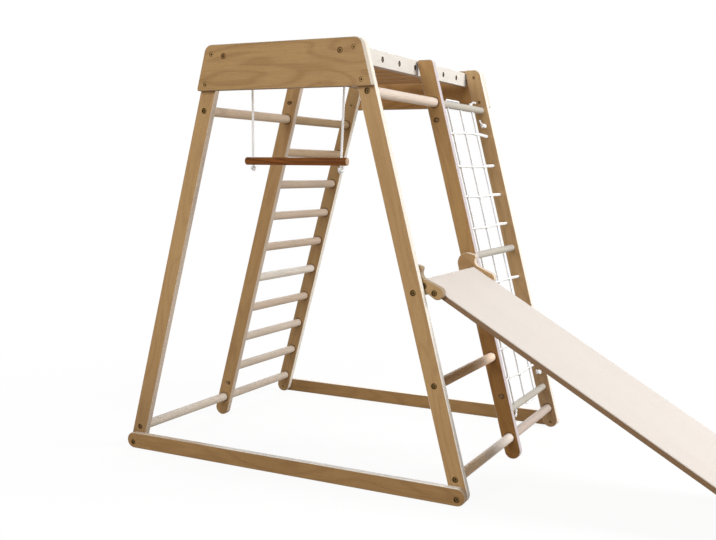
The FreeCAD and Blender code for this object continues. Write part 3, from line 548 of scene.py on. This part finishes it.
# Painted shade inside the hex sockets.
SOCKET_SHADE_TONES = ((0.055, 0.034, 0.010, 1.0), (0.030, 0.018, 0.005, 1.0))
BOLT_FINISHES = {
    "flush": (FLUSH_RADIUS, (0.47, 0.305, 0.115, 1.0), (0.18, 0.10, 0.03, 1.0)),
    # Painted shade: heads sunk in holes.
    "deep": (DEEP_RADIUS, (0.235, 0.145, 0.042, 1.0), (0.085, 0.047, 0.011, 1.0)),
    # Painted reflection: the heads on the beams.
    "beam": (DEEP_RADIUS, (0.48, 0.44, 0.39, 1.0), (0.22, 0.19, 0.15, 1.0)),
    "insert": (FLUSH_RADIUS, (0.62, 0.45, 0.19, 1.0), (0.30, 0.19, 0.065, 1.0)),
    "dark": (FLUSH_RADIUS, (0.30, 0.18, 0.055, 1.0), (0.10, 0.052, 0.013, 1.0)),
}
BOLT_BODIES = {
    "header_bolts": "frame", "floor_rail_bolts": "frame", "front_dowel_bolts": "frame",
    "back_dowel_bolts": "frame", "overhead_bar_bolts": "frame", "spare_insert_bolts": "frame",
    "slide_hook_bolts": "slide",
}


def apply_modifier(piece, kind, **settings):
    modifier = piece.modifiers.new(kind.lower(), kind)
    for name, value in settings.items():
        setattr(modifier, name, value)
    make_active(piece)
    bpy.ops.object.modifier_apply(modifier=modifier.name)


def joined(name, pieces):
    make_active(pieces[0])
    for piece in pieces:
        piece.select_set(True)
    bpy.ops.object.join()
    pieces[0].name = name
    pieces[0].data.name = name
    return pieces[0]


def bolt_head(name, radius):
    """A bolt with the outer face of its head at the origin, and its shank along -Z."""
    deselect()
    bpy.ops.mesh.primitive_cylinder_add(vertices=40, radius=radius, depth=HEAD_THICK,
                                        location=(0, 0, -HEAD_THICK / 2))
    head = bpy.context.object
    bpy.ops.object.transform_apply()
    apply_modifier(head, "BEVEL", width=RIM_ROUND, segments=3, limit_method="ANGLE")
    bpy.ops.mesh.primitive_cylinder_add(vertices=6, radius=SOCKET_RADIUS, depth=2 * SOCKET_DEPTH)
    cutter = bpy.context.object
    apply_modifier(head, "BOOLEAN", object=cutter, operation="DIFFERENCE")
    bpy.data.objects.remove(cutter)
    bpy.ops.mesh.primitive_cylinder_add(vertices=20, radius=SHANK_RADIUS, depth=SHANK_LEFT,
                                        location=(0, 0, -HEAD_THICK - SHANK_LEFT / 2))
    shank = bpy.context.object
    bpy.ops.object.transform_apply()
    head = joined(name, [head, shank])
    bpy.ops.object.shade_smooth_by_angle(angle=SMOOTH_ANGLE)
    return head


def burnished_steel(name, pale, deep):
    material, tree, shader = new_material(name, STEEL_ROUGHNESS)
    shader.inputs["Metallic"].default_value = STEEL_METALLIC
    shader.inputs["Specular IOR Level"].default_value = STEEL_GLOSS
    coords = node(tree, "TexCoord").outputs["Object"]
    patina = stretched_noise(tree, coords, PATINA_STRETCH, detail=4.0, roughness=0.6)
    tree.links.new(blend_colours(tree, contrast(tree, patina), pale, deep), shader.inputs["Base Color"])
    tree.links.new(ramp(tree, patina, low=-0.4, high=1.4), shader.inputs["Roughness"])
    return material


socket_shade = burnished_steel("painted socket shade", *SOCKET_SHADE_TONES)


def finished_head(name, radius, pale, deep):
    """A bolt in its own finish, with painted shade inside the socket."""
    head = bolt_head(name, radius)
    head.data.materials.append(burnished_steel(name + " finish", pale, deep))
    head.data.materials.append(socket_shade)
    for face in head.data.polygons:
        under_face = -HEAD_THICK < face.center.z < -SOCKET_DEPTH / 4
        in_socket = under_face and face.center.xy.length < SOCKET_RADIUS
        face.material_index = 1 if in_socket else 0
    return head


def bolt_kind(group_name, face, radius):
    """The kind of head for a place: beam, inner header and insert bolts have finishes of their own."""
    if group_name == "overhead_bar_bolts":
        return "beam"
    if group_name == "spare_insert_bolts":
        return "dark" if face.x < 0 else "insert"
    if group_name == "header_bolts" and abs(face.x) < BEAM_END_REACH:
        return "dark"
    return "deep" if radius > LEAST_DEEP else "flush"


# The slide's bolt holes are read here, before its plain bolts are replaced.
hook_holes = bolt_holes("slide_hook_bolts")
bolt_models = {kind: finished_head(kind + " bolt", *finish) for kind, finish in BOLT_FINISHES.items()}
for group_name, body in BOLT_BODIES.items():
    heads = []
    for points in solids_of(group_name):
        face, inwards, radius = bolt_place(points)
        model = bolt_models[bolt_kind(group_name, face, radius)]
        turn = (-inwards).to_track_quat("Z", "Y").to_matrix().to_4x4()
        heads.append(own_copy(model, Matrix.Translation(face) @ turn))
    heads = joined(group_name.replace("_bolts", "_bolt_heads"), heads)
    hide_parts(group_name)
    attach(heads, body)
for model in bolt_models.values():
    bpy.data.objects.remove(model)

# Climbing net: thin white laid rope, tied at every crossing, in two halves between the right legs.
# The rows end in holes in the legs, and the uprights run through holes in the three rungs.
NET_ROPE = 0.0075
NET_LAY = 0.026
NET_TUCK = 0.0055
NET_NEAR = 0.091
NET_STEP = 0.115
NET_COUNT = 3
ROW_COUNT = 4
ROW_UNDER_TOP = 0.097
ROW_UNDER_MIDDLE = 0.107
ROW_OVER_RUNG = 0.0865
ROW_STEPS = 60
UPRIGHT_STEPS = 40
RUNG_RADIUS = 0.012
CROSSING_KNOT = 0.009
KNOT_STEPS = 56
SPLICE = Vector((0.001, 0.0, 0.0035))
STRANDS = 3
STRAND_SHARE = 0.232
TWIST_SHARE = 0.268
ROPE_ROUGHNESS = 0.85
ROPE_STRETCH = (900.0, 900.0, 500.0)
DUST_STRETCH = (25.0, 25.0, 25.0)
ROPE_RELIEF = 0.0004
UPPER_SHIFTS = [
    (0.001, 0.008, 0.0075), (-0.004, -0.0035, -0.0025), (0.002, -0.002, 0.001), (0.0, -0.002, 0.002),
]
LOWER_SHIFTS = [
    (0.001, 0.006, 0.004), (-0.003, -0.003, -0.002), (0.002, -0.002, 0.001), (0.009, 0.0, 0.003),
]


def spline_points(route, steps):
    """Points along the smooth line of a route, with that many steps to a span."""
    curve = bpy.data.curves.new("route", "CURVE")
    curve.dimensions = "3D"
    curve.resolution_u = steps
    spline = curve.splines.new("NURBS")
    spline.points.add(len(route) - 1)
    for point, place in zip(spline.points, route):
        point.co = (*place, 1.0)
    spline.order_u = 3
    spline.use_endpoint_u = True
    spline.resolution_u = steps
    holder = bpy.data.objects.new("route", curve)
    bpy.context.scene.collection.objects.link(holder)
    mesh = bpy.data.meshes.new_from_object(holder)
    line = [vertex.co.copy() for vertex in mesh.vertices]
    bpy.data.objects.remove(holder)
    bpy.data.meshes.remove(mesh)
    return line


def strand_lines(line, diameter, lay):
    """The strands of a laid rope, each winding round the rope's own line."""
    normal = (line[1] - line[0]).orthogonal().normalized()
    strands = [[] for k in range(STRANDS)]
    travelled = 0.0
    for i, point in enumerate(line):
        before = line[max(i - 1, 0)]
        after = line[min(i + 1, len(line) - 1)]
        travelled += (point - before).length
        tangent = (after - before).normalized()
        normal = (normal - tangent * normal.dot(tangent)).normalized()
        side = tangent.cross(normal)
        for k in range(STRANDS):
            angle = 2 * math.pi * (travelled / lay + k / STRANDS)
            offset = normal * math.cos(angle) + side * math.sin(angle)
            strands[k].append(point + offset * diameter * TWIST_SHARE)
    return strands


def round_wire(name, lines, radius, roundness):
    """Round tubes along lines, as one mesh."""
    curve = bpy.data.curves.new(name, "CURVE")
    curve.dimensions = "3D"
    curve.bevel_depth = radius
    curve.bevel_resolution = roundness
    curve.use_fill_caps = True
    for line in lines:
        spline = curve.splines.new("POLY")
        spline.points.add(len(line) - 1)
        for point, place in zip(spline.points, line):
            point.co = (*place, 1.0)
        spline.use_smooth = True
    wire = bpy.data.objects.new(name, curve)
    bpy.context.scene.collection.objects.link(wire)
    make_active(wire)
    bpy.ops.object.convert(target="MESH")
    wire = bpy.context.object
    wire.name = name
    wire.data.name = name
    return wire


def laid_rope(name, lines, diameter, lay, roundness=1):
    strands = []
    for line in lines:
        strands += strand_lines(line, diameter, lay)
    return round_wire(name, strands, diameter * STRAND_SHARE, roundness)


def overhand(place, along, reach, rope):
    """The trefoil line of a tight overhand knot, whose outside is that reach from its middle."""
    turn = Vector(along).to_track_quat("X", "Z").to_matrix()
    scale = (reach - rope / 2) / 3
    line = []
    for i in range(KNOT_STEPS + 1):
        t = 2 * math.pi * i / KNOT_STEPS
        bend = Vector((math.sin(t) + 2 * math.sin(2 * t),
                       math.cos(t) - 2 * math.cos(2 * t),
                       -1.5 * math.sin(3 * t)))
        line.append(Vector(place) + turn @ (bend * scale))
    return line


def rope_fibre(name, pale, deep):
    """Fibres of a laid rope, with a little dust in its grooves."""
    material, tree, shader = new_material(name, ROPE_ROUGHNESS)
    coords = node(tree, "TexCoord").outputs["Object"]
    fibre = stretched_noise(tree, coords, ROPE_STRETCH, detail=3.0, roughness=0.6)
    dust = stretched_noise(tree, coords, DUST_STRETCH, detail=2.0)
    tone = math_node(tree, "MULTIPLY", contrast(tree, fibre), ramp(tree, dust, low=0.1, high=0.7))
    tree.links.new(blend_colours(tree, tone, pale, deep), shader.inputs["Base Color"])
    bumped(tree, shader, fibre, ROPE_RELIEF)
    return material


net_fibre = rope_fibre("net rope fibre", (0.97, 0.98, 0.99, 1.0), (0.80, 0.83, 0.88, 1.0))
rung_middles = {name: middle(name) for name in net_rungs}
net_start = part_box("middle_leg_right")[1][1]
net_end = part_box("back_leg_right")[0][1]
net_foot = middle("net_base_dowel")
upright_places = [net_start + NET_NEAR + i * NET_STEP for i in range(NET_COUNT)]


def on_net(y, z):
    return Vector((net_foot.x + (z - net_foot.z) * leg_line.x / leg_line.z, y, z))


def net_piece(name, lines, stands_for):
    """Laid net rope along lines, in place of a plain piece of the frame."""
    piece = laid_rope(name, lines, NET_ROPE, NET_LAY)
    piece.data.materials.append(net_fibre)
    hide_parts(stands_for)
    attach(piece, "frame")


def net_half(name, rung_over, drop, rung_under, knot_shifts):
    """Rows, uprights and crossing knots between two rungs."""
    over = rung_middles[rung_over].z
    under = rung_middles[rung_under].z
    first = over - drop
    last = under + ROW_OVER_RUNG
    heights = [first + (last - first) * i / (ROW_COUNT - 1) for i in range(ROW_COUNT)]
    lines = []
    for height, shifts in zip(heights, knot_shifts):
        ties = [on_net(y, height + shift) for y, shift in zip(upright_places, shifts)]
        row = [on_net(net_start - NET_TUCK, height), *ties, on_net(net_end + NET_TUCK, height)]
        lines.append(spline_points(row, ROW_STEPS))
        lines.append(spline_points([place + SPLICE for place in row[-2:]], ROW_STEPS))
        lines += [overhand(tie, THROUGH, CROSSING_KNOT, NET_ROPE) for tie in ties]
    for column, y in enumerate(upright_places):
        fall = [over, over - RUNG_RADIUS]
        fall += [height + shifts[column] for height, shifts in zip(heights, knot_shifts)]
        fall += [under + RUNG_RADIUS, under]
        lines.append(spline_points([on_net(y, height) for height in fall], UPRIGHT_STEPS))
    net_piece(name + "_ropes", lines, name)


net_half("climbing_net_upper", "net_rung_top", ROW_UNDER_TOP, "net_rung_middle", UPPER_SHIFTS)
net_half("climbing_net_lower", "net_rung_middle", ROW_UNDER_MIDDLE, "net_rung_lower", LOWER_SHIFTS)

# End knots and passes: one rope starts in a knot under the lowest rung, runs up the first upright, over the
# top rung, down the second, under the lowest rung, up the third, and ends in a knot on the top rung.
END_KNOT = 0.0075
KNOT_BITE = 0.004
KNOT_RUN = 0.010
END_STEPS = 10
PASS_RISE = 0.0150
PASS_OVER = 0.0170
PASS_TURN = 0.010
PASS_STEPS = 24
TOP_TAIL = [(0.004, 0.004, 0.008), (0.010, 0.008, 0.010), (0.016, 0.010, 0.006)]
LOW_TAIL = [(0.004, -0.004, -0.008), (0.006, -0.010, -0.014), (0.005, -0.016, -0.018)]


def tail_line(knot, bends, steps):
    """The line of a loose rope end that leaves a knot."""
    return spline_points([knot, *(knot + Vector(bend) for bend in bends)], steps)


def rope_pass(first, second, rung, outward):
    """A rope that leaves one hole in a rung, lies along it and goes down the next hole."""
    near = on_net(upright_places[first], rung_middles[rung].z)
    far = on_net(upright_places[second], rung_middles[rung].z)
    route = [near, near + outward * PASS_RISE, near + outward * PASS_OVER + THROUGH * PASS_TURN,
             (near + far) / 2 + outward * (PASS_RISE + PASS_OVER) / 2,
             far + outward * PASS_OVER - THROUGH * PASS_TURN, far + outward * PASS_RISE, far]
    return spline_points(route, PASS_STEPS)


ends = [rope_pass(0, 1, "net_rung_top", lean_right), rope_pass(1, 2, "net_rung_lower", -lean_right)]
for points in solids_of("net_rung_knots"):
    low, high = span(points)
    knot = (low + high) / 2
    above = knot.z > rung_middles["net_rung_middle"].z
    if above and knot.y > upright_places[1] + NET_STEP / 2:
        towards_rung = -lean_right
        tail = TOP_TAIL
    elif not above and knot.y < upright_places[1] - NET_STEP / 2:
        towards_rung = lean_right
        tail = LOW_TAIL
    else:
        continue
    knot += towards_rung * KNOT_BITE
    ends.append(overhand(knot, THROUGH, END_KNOT, NET_ROPE))
    ends.append(spline_points([knot + towards_rung * KNOT_RUN * i for i in range(3)], END_STEPS))
    ends.append(tail_line(knot, tail, END_STEPS))
net_piece("net_end_knots", ends, "net_rung_knots")

# Corner ties: the net's corner ropes end in a larger knot on the face of the back leg, one with a loose tail.
# The rope goes on into the leg, where it is held in its hole.
TIE_KNOT = 0.0125
TIE_STEPS = 8
TIE_TAIL = [(-0.006, -0.003, 0.008), (-0.011, -0.004, 0.014), (-0.014, -0.003, 0.020)]
TAIL_STEPS = 12
ties = []
for points in solids_of("net_tie_knots"):
    low, high = span(points)
    tie = Vector(((low.x + high.x) / 2, low.y + TIE_KNOT, (low.z + high.z) / 2))
    ties.append(overhand(tie, ACROSS, TIE_KNOT, NET_ROPE))
    ties.append(spline_points([tie, tie + THROUGH * TIE_KNOT, tie + THROUGH * (high.y - tie.y)], TIE_STEPS))
    if tie.z > rung_middles["net_rung_middle"].z:
        ties.append(tail_line(tie, TIE_TAIL, TAIL_STEPS))
net_piece("net_corner_ties", ties, "net_tie_knots")

# Trapeze: a dark stained bar with bare cut ends, drilled for two white ropes. Each rope is spliced round
# the first overhead bar, whipped with twine under it, and knotted below the trapeze bar.
GRIP_CHAMFER = 0.0012
TRAPEZE_ROPE = 0.008
TRAPEZE_LAY = 0.026
ROPE_ROUNDNESS = 2
ROPE_STEPS = 72
ROPE_HOLE = 0.0095
ROPE_LEANS = {"left": (0.0, 0.0), "right": (0.010, -0.004)}
ROPE_TAILS = {"left": 0.016, "right": 0.022}
OVERHEAD_RADIUS = 0.015
WRAP_GAP = 0.0009
STAIN = ((0.27, 0.095, 0.019, 1.0), (0.090, 0.027, 0.006, 1.0))
STAIN_LINES = 0.45
STAIN_GLOSS = 0.12
BARE_END = (0.66, 0.50, 0.34, 1.0)
grip_low, grip_high = (Vector(corner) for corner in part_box("trapeze_bar"))
grip_middle = (grip_low + grip_high) / 2
grip_radius = (grip_high.z - grip_low.z) / 2
deselect()
bpy.ops.mesh.primitive_cylinder_add(vertices=56, radius=grip_radius, depth=grip_high.x - grip_low.x,
                                    location=grip_middle, rotation=(0, math.pi / 2, 0))
grip = bpy.context.object
bpy.ops.object.transform_apply()
apply_modifier(grip, "BEVEL", width=GRIP_CHAMFER, segments=2, limit_method="ANGLE")
first_bar = middle("overhead_bar_1")
wrap = OVERHEAD_RADIUS + TRAPEZE_ROPE / 2 + WRAP_GAP
rope_lines = {}
for side, (lean_top, lean_foot) in ROPE_LEANS.items():
    x = middle("trapeze_rope_" + side).x
    top = Vector((x + lean_top, first_bar.y, first_bar.z - wrap))
    foot = Vector((x + lean_foot, first_bar.y, grip_low.z - ROPE_TAILS[side]))
    rope_lines[side] = (top, foot)
    at_grip = top.lerp(foot, (top.z - grip_middle.z) / (top.z - foot.z))
    deselect()
    bpy.ops.mesh.primitive_cylinder_add(vertices=32, radius=ROPE_HOLE / 2, depth=4 * grip_radius,
                                        location=at_grip)
    drill_bit = bpy.context.object
    apply_modifier(grip, "BOOLEAN", object=drill_bit, operation="DIFFERENCE")
    bpy.data.objects.remove(drill_bit)
make_active(grip)
bpy.ops.object.shade_smooth_by_angle(angle=SMOOTH_ANGLE)
grip.name = "trapeze_grip"
grip.data.name = "trapeze_grip"
grip.data.materials.append(turned_wood("stained grip", ACROSS, STAIN, BARE_END, STAIN_LINES, STAIN_GLOSS))
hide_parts("trapeze_bar")
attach(grip, "trapeze")

# Trapeze ropes: white laid rope with an eye round the overhead bar and a whipping of thin twine.
# A stopper knot under the bar holds each rope, and its loose fibres fan out below.
WHIP_TWINE = 0.0012
WHIP_TURNS = 13
WHIP_DROP = 0.010
TIGHT_SHARE = 0.85
STOPPER_KNOTS = {"left": 0.0095, "right": 0.0125}
HAIR_RADIUS = 0.0006
HAIR_COUNT = 21
HAIR_TURN = 2.4
INNER_SHARE = 0.15
START_SHARE = 0.4
HAIR_RISE = 0.008
HAIR_LENGTH = 0.010
HAIR_VARIES = 0.002
HAIR_STEPS = 8
FRAY_SPREADS = {"left": 0.0035, "right": 0.0045}
FRAY_LEANS = {"left": 0.004, "right": 0.001}
trapeze_fibre = rope_fibre("trapeze rope fibre", (0.86, 0.86, 0.86, 1.0), (0.62, 0.63, 0.65, 1.0))


def ring_line(centre, radius, axis):
    """A closed turn of rope or twine round a bar or another rope."""
    deselect()
    bpy.ops.curve.primitive_bezier_circle_add(radius=radius)
    ring = bpy.context.object
    mesh = bpy.data.meshes.new_from_object(ring)
    turn = Vector(axis).to_track_quat("Z", "X").to_matrix()
    line = [Vector(centre) + turn @ vertex.co for vertex in mesh.vertices]
    line.append(line[0].copy())
    bpy.data.objects.remove(ring)
    bpy.data.meshes.remove(mesh)
    return line


def frayed_end(foot, spread, lean):
    """Loose fibres that fan out at the foot of a rope."""
    hairs = []
    for i in range(HAIR_COUNT):
        angle = HAIR_TURN * i
        distance = spread * (INNER_SHARE + (1 - INNER_SHARE) * math.sqrt(i / HAIR_COUNT))
        outward = Vector((math.cos(angle), math.sin(angle), 0)) * distance
        length = HAIR_LENGTH + HAIR_VARIES * math.sin(5 * i)
        start = foot + Vector((0, 0, HAIR_RISE)) + outward * START_SHARE
        drop = Vector((lean, 0, -length))
        route = [start, start + outward * START_SHARE + drop / 2, start + outward + drop]
        hairs.append(spline_points(route, HAIR_STEPS))
    return round_wire("fray", hairs, HAIR_RADIUS, 0)


def rope_piece(piece):
    piece.data.materials.clear()
    piece.data.materials.append(trapeze_fibre)
    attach(piece, "trapeze")


for side, (top, foot) in rope_lines.items():
    fall = foot - top
    line = spline_points([top, top + fall / 3, top + fall * 2 / 3, foot], ROPE_STEPS)
    rope = laid_rope("trapeze_cord_" + side, [line], TRAPEZE_ROPE, TRAPEZE_LAY, ROPE_ROUNDNESS)
    rope_piece(rope)
    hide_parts("trapeze_rope_" + side)
    eye = ring_line((top.x, first_bar.y, first_bar.z), wrap, ACROSS)
    rope_piece(laid_rope("trapeze_eye_" + side, [eye], TRAPEZE_ROPE, TRAPEZE_LAY, ROPE_ROUNDNESS))
    whip_rings = []
    for i in range(WHIP_TURNS):
        bound = top + fall.normalized() * (WHIP_DROP + i * WHIP_TWINE)
        whip_rings.append(ring_line(bound, TRAPEZE_ROPE / 2 + WHIP_TWINE / 3, fall))
    rope_piece(round_wire("trapeze_whipping_" + side, whip_rings, WHIP_TWINE / 2, 1))
    reach = STOPPER_KNOTS[side]
    knot = Vector((foot.x, first_bar.y, grip_low.z - reach))
    tight_rope = TRAPEZE_ROPE * TIGHT_SHARE
    knot_line = overhand(knot, ACROSS, reach, tight_rope)
    stopper = laid_rope("trapeze_stopper_" + side, [knot_line], tight_rope, TRAPEZE_LAY, ROPE_ROUNDNESS)
    fray = frayed_end(foot, FRAY_SPREADS[side], FRAY_LEANS[side])
    stopper = joined("trapeze_stopper_" + side, [stopper, fray])
    rope_piece(stopper)
    if side == "left":
        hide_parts("trapeze_knots")

# Slide: a smooth pale board, hung by two plywood hooks that are bolted to its side edges.
# Its veneer runs down the slope, and its edges show the plies. The near hook is painted darker, as painted
# shade, and the far hook lighter, as painted light.
SLIDE_ANGLE = math.radians(30.30)
SLIDE_LINES = 0.1
SLIDE_BIRCH = ((0.60, 0.552, 0.508, 1.0), (0.56, 0.508, 0.465, 1.0))
SLIDE_EDGE = ((0.25, 0.15, 0.078, 1.0), (0.15, 0.085, 0.042, 1.0))
# Painted shade on the near hook.
SHADED_HOOK_BIRCH = ((0.43, 0.28, 0.13, 1.0), (0.32, 0.195, 0.08, 1.0))
SHADED_HOOK_EDGE = ((0.34, 0.26, 0.17, 1.0), (0.24, 0.17, 0.105, 1.0))
# Painted light on the far hook.
LIT_FAR_HOOK_BIRCH = ((0.57, 0.36, 0.168, 1.0), (0.43, 0.25, 0.104, 1.0))
LIT_FAR_HOOK_EDGE = ((0.66, 0.57, 0.47, 1.0), (0.54, 0.45, 0.35, 1.0))
downhill = Vector((math.cos(SLIDE_ANGLE), 0, -math.sin(SLIDE_ANGLE)))
off_slide = Vector((math.sin(SLIDE_ANGLE), 0, math.cos(SLIDE_ANGLE)))
slide_top = max(vertex.co.dot(off_slide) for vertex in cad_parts["slide_board"].data.vertices)
dress(plywood("slide plywood", downhill, off_slide, SLIDE_BIRCH, SLIDE_EDGE, SLIDE_LINES, top_ply=slide_top,
              pores=FAINT_PORES), "slide_board")
dress(plywood("near hook plywood", downhill, THROUGH, SHADED_HOOK_BIRCH, SHADED_HOOK_EDGE, rings=hook_holes),
      "slide_hook_near")
dress(plywood("far hook plywood", downhill, THROUGH, LIT_FAR_HOOK_BIRCH, LIT_FAR_HOOK_EDGE), "slide_hook_far")

# Floor and backdrop: a plain white studio floor that keeps a soft shadow near the frame and runs into an
# even white background. The light that the floor throws back on the wood is tan, and the air adds a weak one.
FLOOR_SIZE = 30.0
FLOOR_DROP = 0.001
FLOOR_ROUGHNESS = 0.9
FLOOR_SEEN = (0.95, 0.95, 0.95, 1.0)
FLOOR_BOUNCE = (0.50, 0.44, 0.36, 1.0)
SHADOW_MIDDLE = (0.45, 0.48, 0.0)
SHADOW_NEAR = 1.1
SHADOW_FAR = 2.6
LEAST_GLOW = 0.93
WHITE = (1.0, 1.0, 1.0, 1.0)
AMBIENT = (1.0, 0.98, 0.96, 1.0)
AMBIENT_STRENGTH = 0.25


def seen_directly(tree):
    """One for rays that show the backdrop itself, by sight, gloss or glass."""
    path = node(tree, "LightPath")
    glossy = math_node(tree, "MAXIMUM", path.outputs["Is Camera Ray"], path.outputs["Is Glossy Ray"])
    return math_node(tree, "MAXIMUM", glossy, path.outputs["Is Transmission Ray"])


deselect()
bpy.ops.mesh.primitive_plane_add(size=FLOOR_SIZE, location=(0, 0, -FLOOR_DROP))
floor = bpy.context.object
floor.name = "floor"
floor_material, tree, shader = new_material("pale floor", FLOOR_ROUGHNESS)
shader.inputs["Specular IOR Level"].default_value = 0.0
direct = seen_directly(tree)
tree.links.new(blend_colours(tree, direct, FLOOR_BOUNCE, FLOOR_SEEN), shader.inputs["Base Color"])
place = node(tree, "TexCoord").outputs["Object"]
away = node(tree, "VectorMath", {0: place, 1: SHADOW_MIDDLE}, operation="DISTANCE").outputs["Value"]
plain = node(tree, "MapRange", {0: away, 1: SHADOW_NEAR, 2: SHADOW_FAR, 3: LEAST_GLOW, 4: 1.0},
             interpolation_type="SMOOTHSTEP")
glow = node(tree, "Emission", {"Color": WHITE, "Strength": 1.0})
share = math_node(tree, "MULTIPLY", direct, plain.outputs[0])
mixed = node(tree, "MixShader", {0: share, 1: shader.outputs[0], 2: glow.outputs[0]})
tree.links.new(mixed.outputs[0], tree.nodes["Material Output"].inputs["Surface"])
floor.data.materials.append(floor_material)

world = bpy.data.worlds.new("studio")
world.use_nodes = True
bpy.context.scene.world = world
tree = world.node_tree
backdrop = node(tree, "Background", {"Color": WHITE, "Strength": 1.0})
ambient = tree.nodes["Background"]
ambient.inputs["Color"].default_value = AMBIENT
ambient.inputs["Strength"].default_value = AMBIENT_STRENGTH
mixed = node(tree, "MixShader", {0: seen_directly(tree), 1: ambient.outputs[0], 2: backdrop.outputs[0]})
tree.links.new(mixed.outputs[0], tree.nodes["World Output"].inputs["Surface"])

# Lamps: three broad soft boxes. The strongest stands high on the right, a little further back than the frame,
# and two weaker ones light the front and the back.
KEY_TARGET = (0.0, 0.45, 0.7)
FILL_TARGET = (0.1, 0.5, 0.7)


def lamp(name, place, target, power, spread):
    light = bpy.data.lights.new(name, "AREA")
    light.energy = power
    light.size = spread
    holder = bpy.data.objects.new(name, light)
    holder.location = place
    holder.rotation_euler = (Vector(target) - Vector(place)).to_track_quat("-Z", "Y").to_euler()
    bpy.context.scene.collection.objects.link(holder)


lamp("key lamp", (5.0, 1.5, 3.8), KEY_TARGET, power=380.0, spread=2.4)
lamp("front lamp", (-0.2, -4.6, 2.5), FILL_TARGET, power=152.0, spread=2.6)
lamp("back lamp", (-1.8, 5.0, 2.4), FILL_TARGET, power=80.0, spread=2.6)

# Camera: it stands in front of the frame to the right, at about seven tenths of its height, and looks back
# towards the left and slightly down. Its lens and shift come from the fit to the photo.
PHOTO_WIDTH = 716
PHOTO_HEIGHT = 540
FOCAL_PIXELS = 936.81
CENTRE_X = 366.64
CENTRE_Y = 305.40
SENSOR = 36.0
EYE = Vector((1.4902, -2.3794, 0.9345))
YAW = math.radians(26.84)
PITCH = math.radians(-8.25)
ROLL = math.radians(0.68)
forward = Vector((-math.sin(YAW) * math.cos(PITCH), math.cos(YAW) * math.cos(PITCH), math.sin(PITCH)))
level = Vector((math.cos(YAW), math.sin(YAW), 0))
upright = level.cross(forward)
right = level * math.cos(ROLL) + upright * math.sin(ROLL)
up = upright * math.cos(ROLL) - level * math.sin(ROLL)
camera_data = bpy.data.cameras.new("camera")
camera_data.sensor_width = SENSOR
camera_data.lens = FOCAL_PIXELS / PHOTO_WIDTH * SENSOR
camera_data.shift_x = (PHOTO_WIDTH / 2 - CENTRE_X) / PHOTO_WIDTH
camera_data.shift_y = (CENTRE_Y - PHOTO_HEIGHT / 2) / PHOTO_WIDTH
camera = bpy.data.objects.new("camera", camera_data)
camera.matrix_world = Matrix.Translation(EYE) @ Matrix((right, up, -forward)).transposed().to_4x4()
bpy.context.scene.collection.objects.link(camera)
bpy.context.scene.camera = camera
bpy.context.scene.view_settings.view_transform = "Standard"
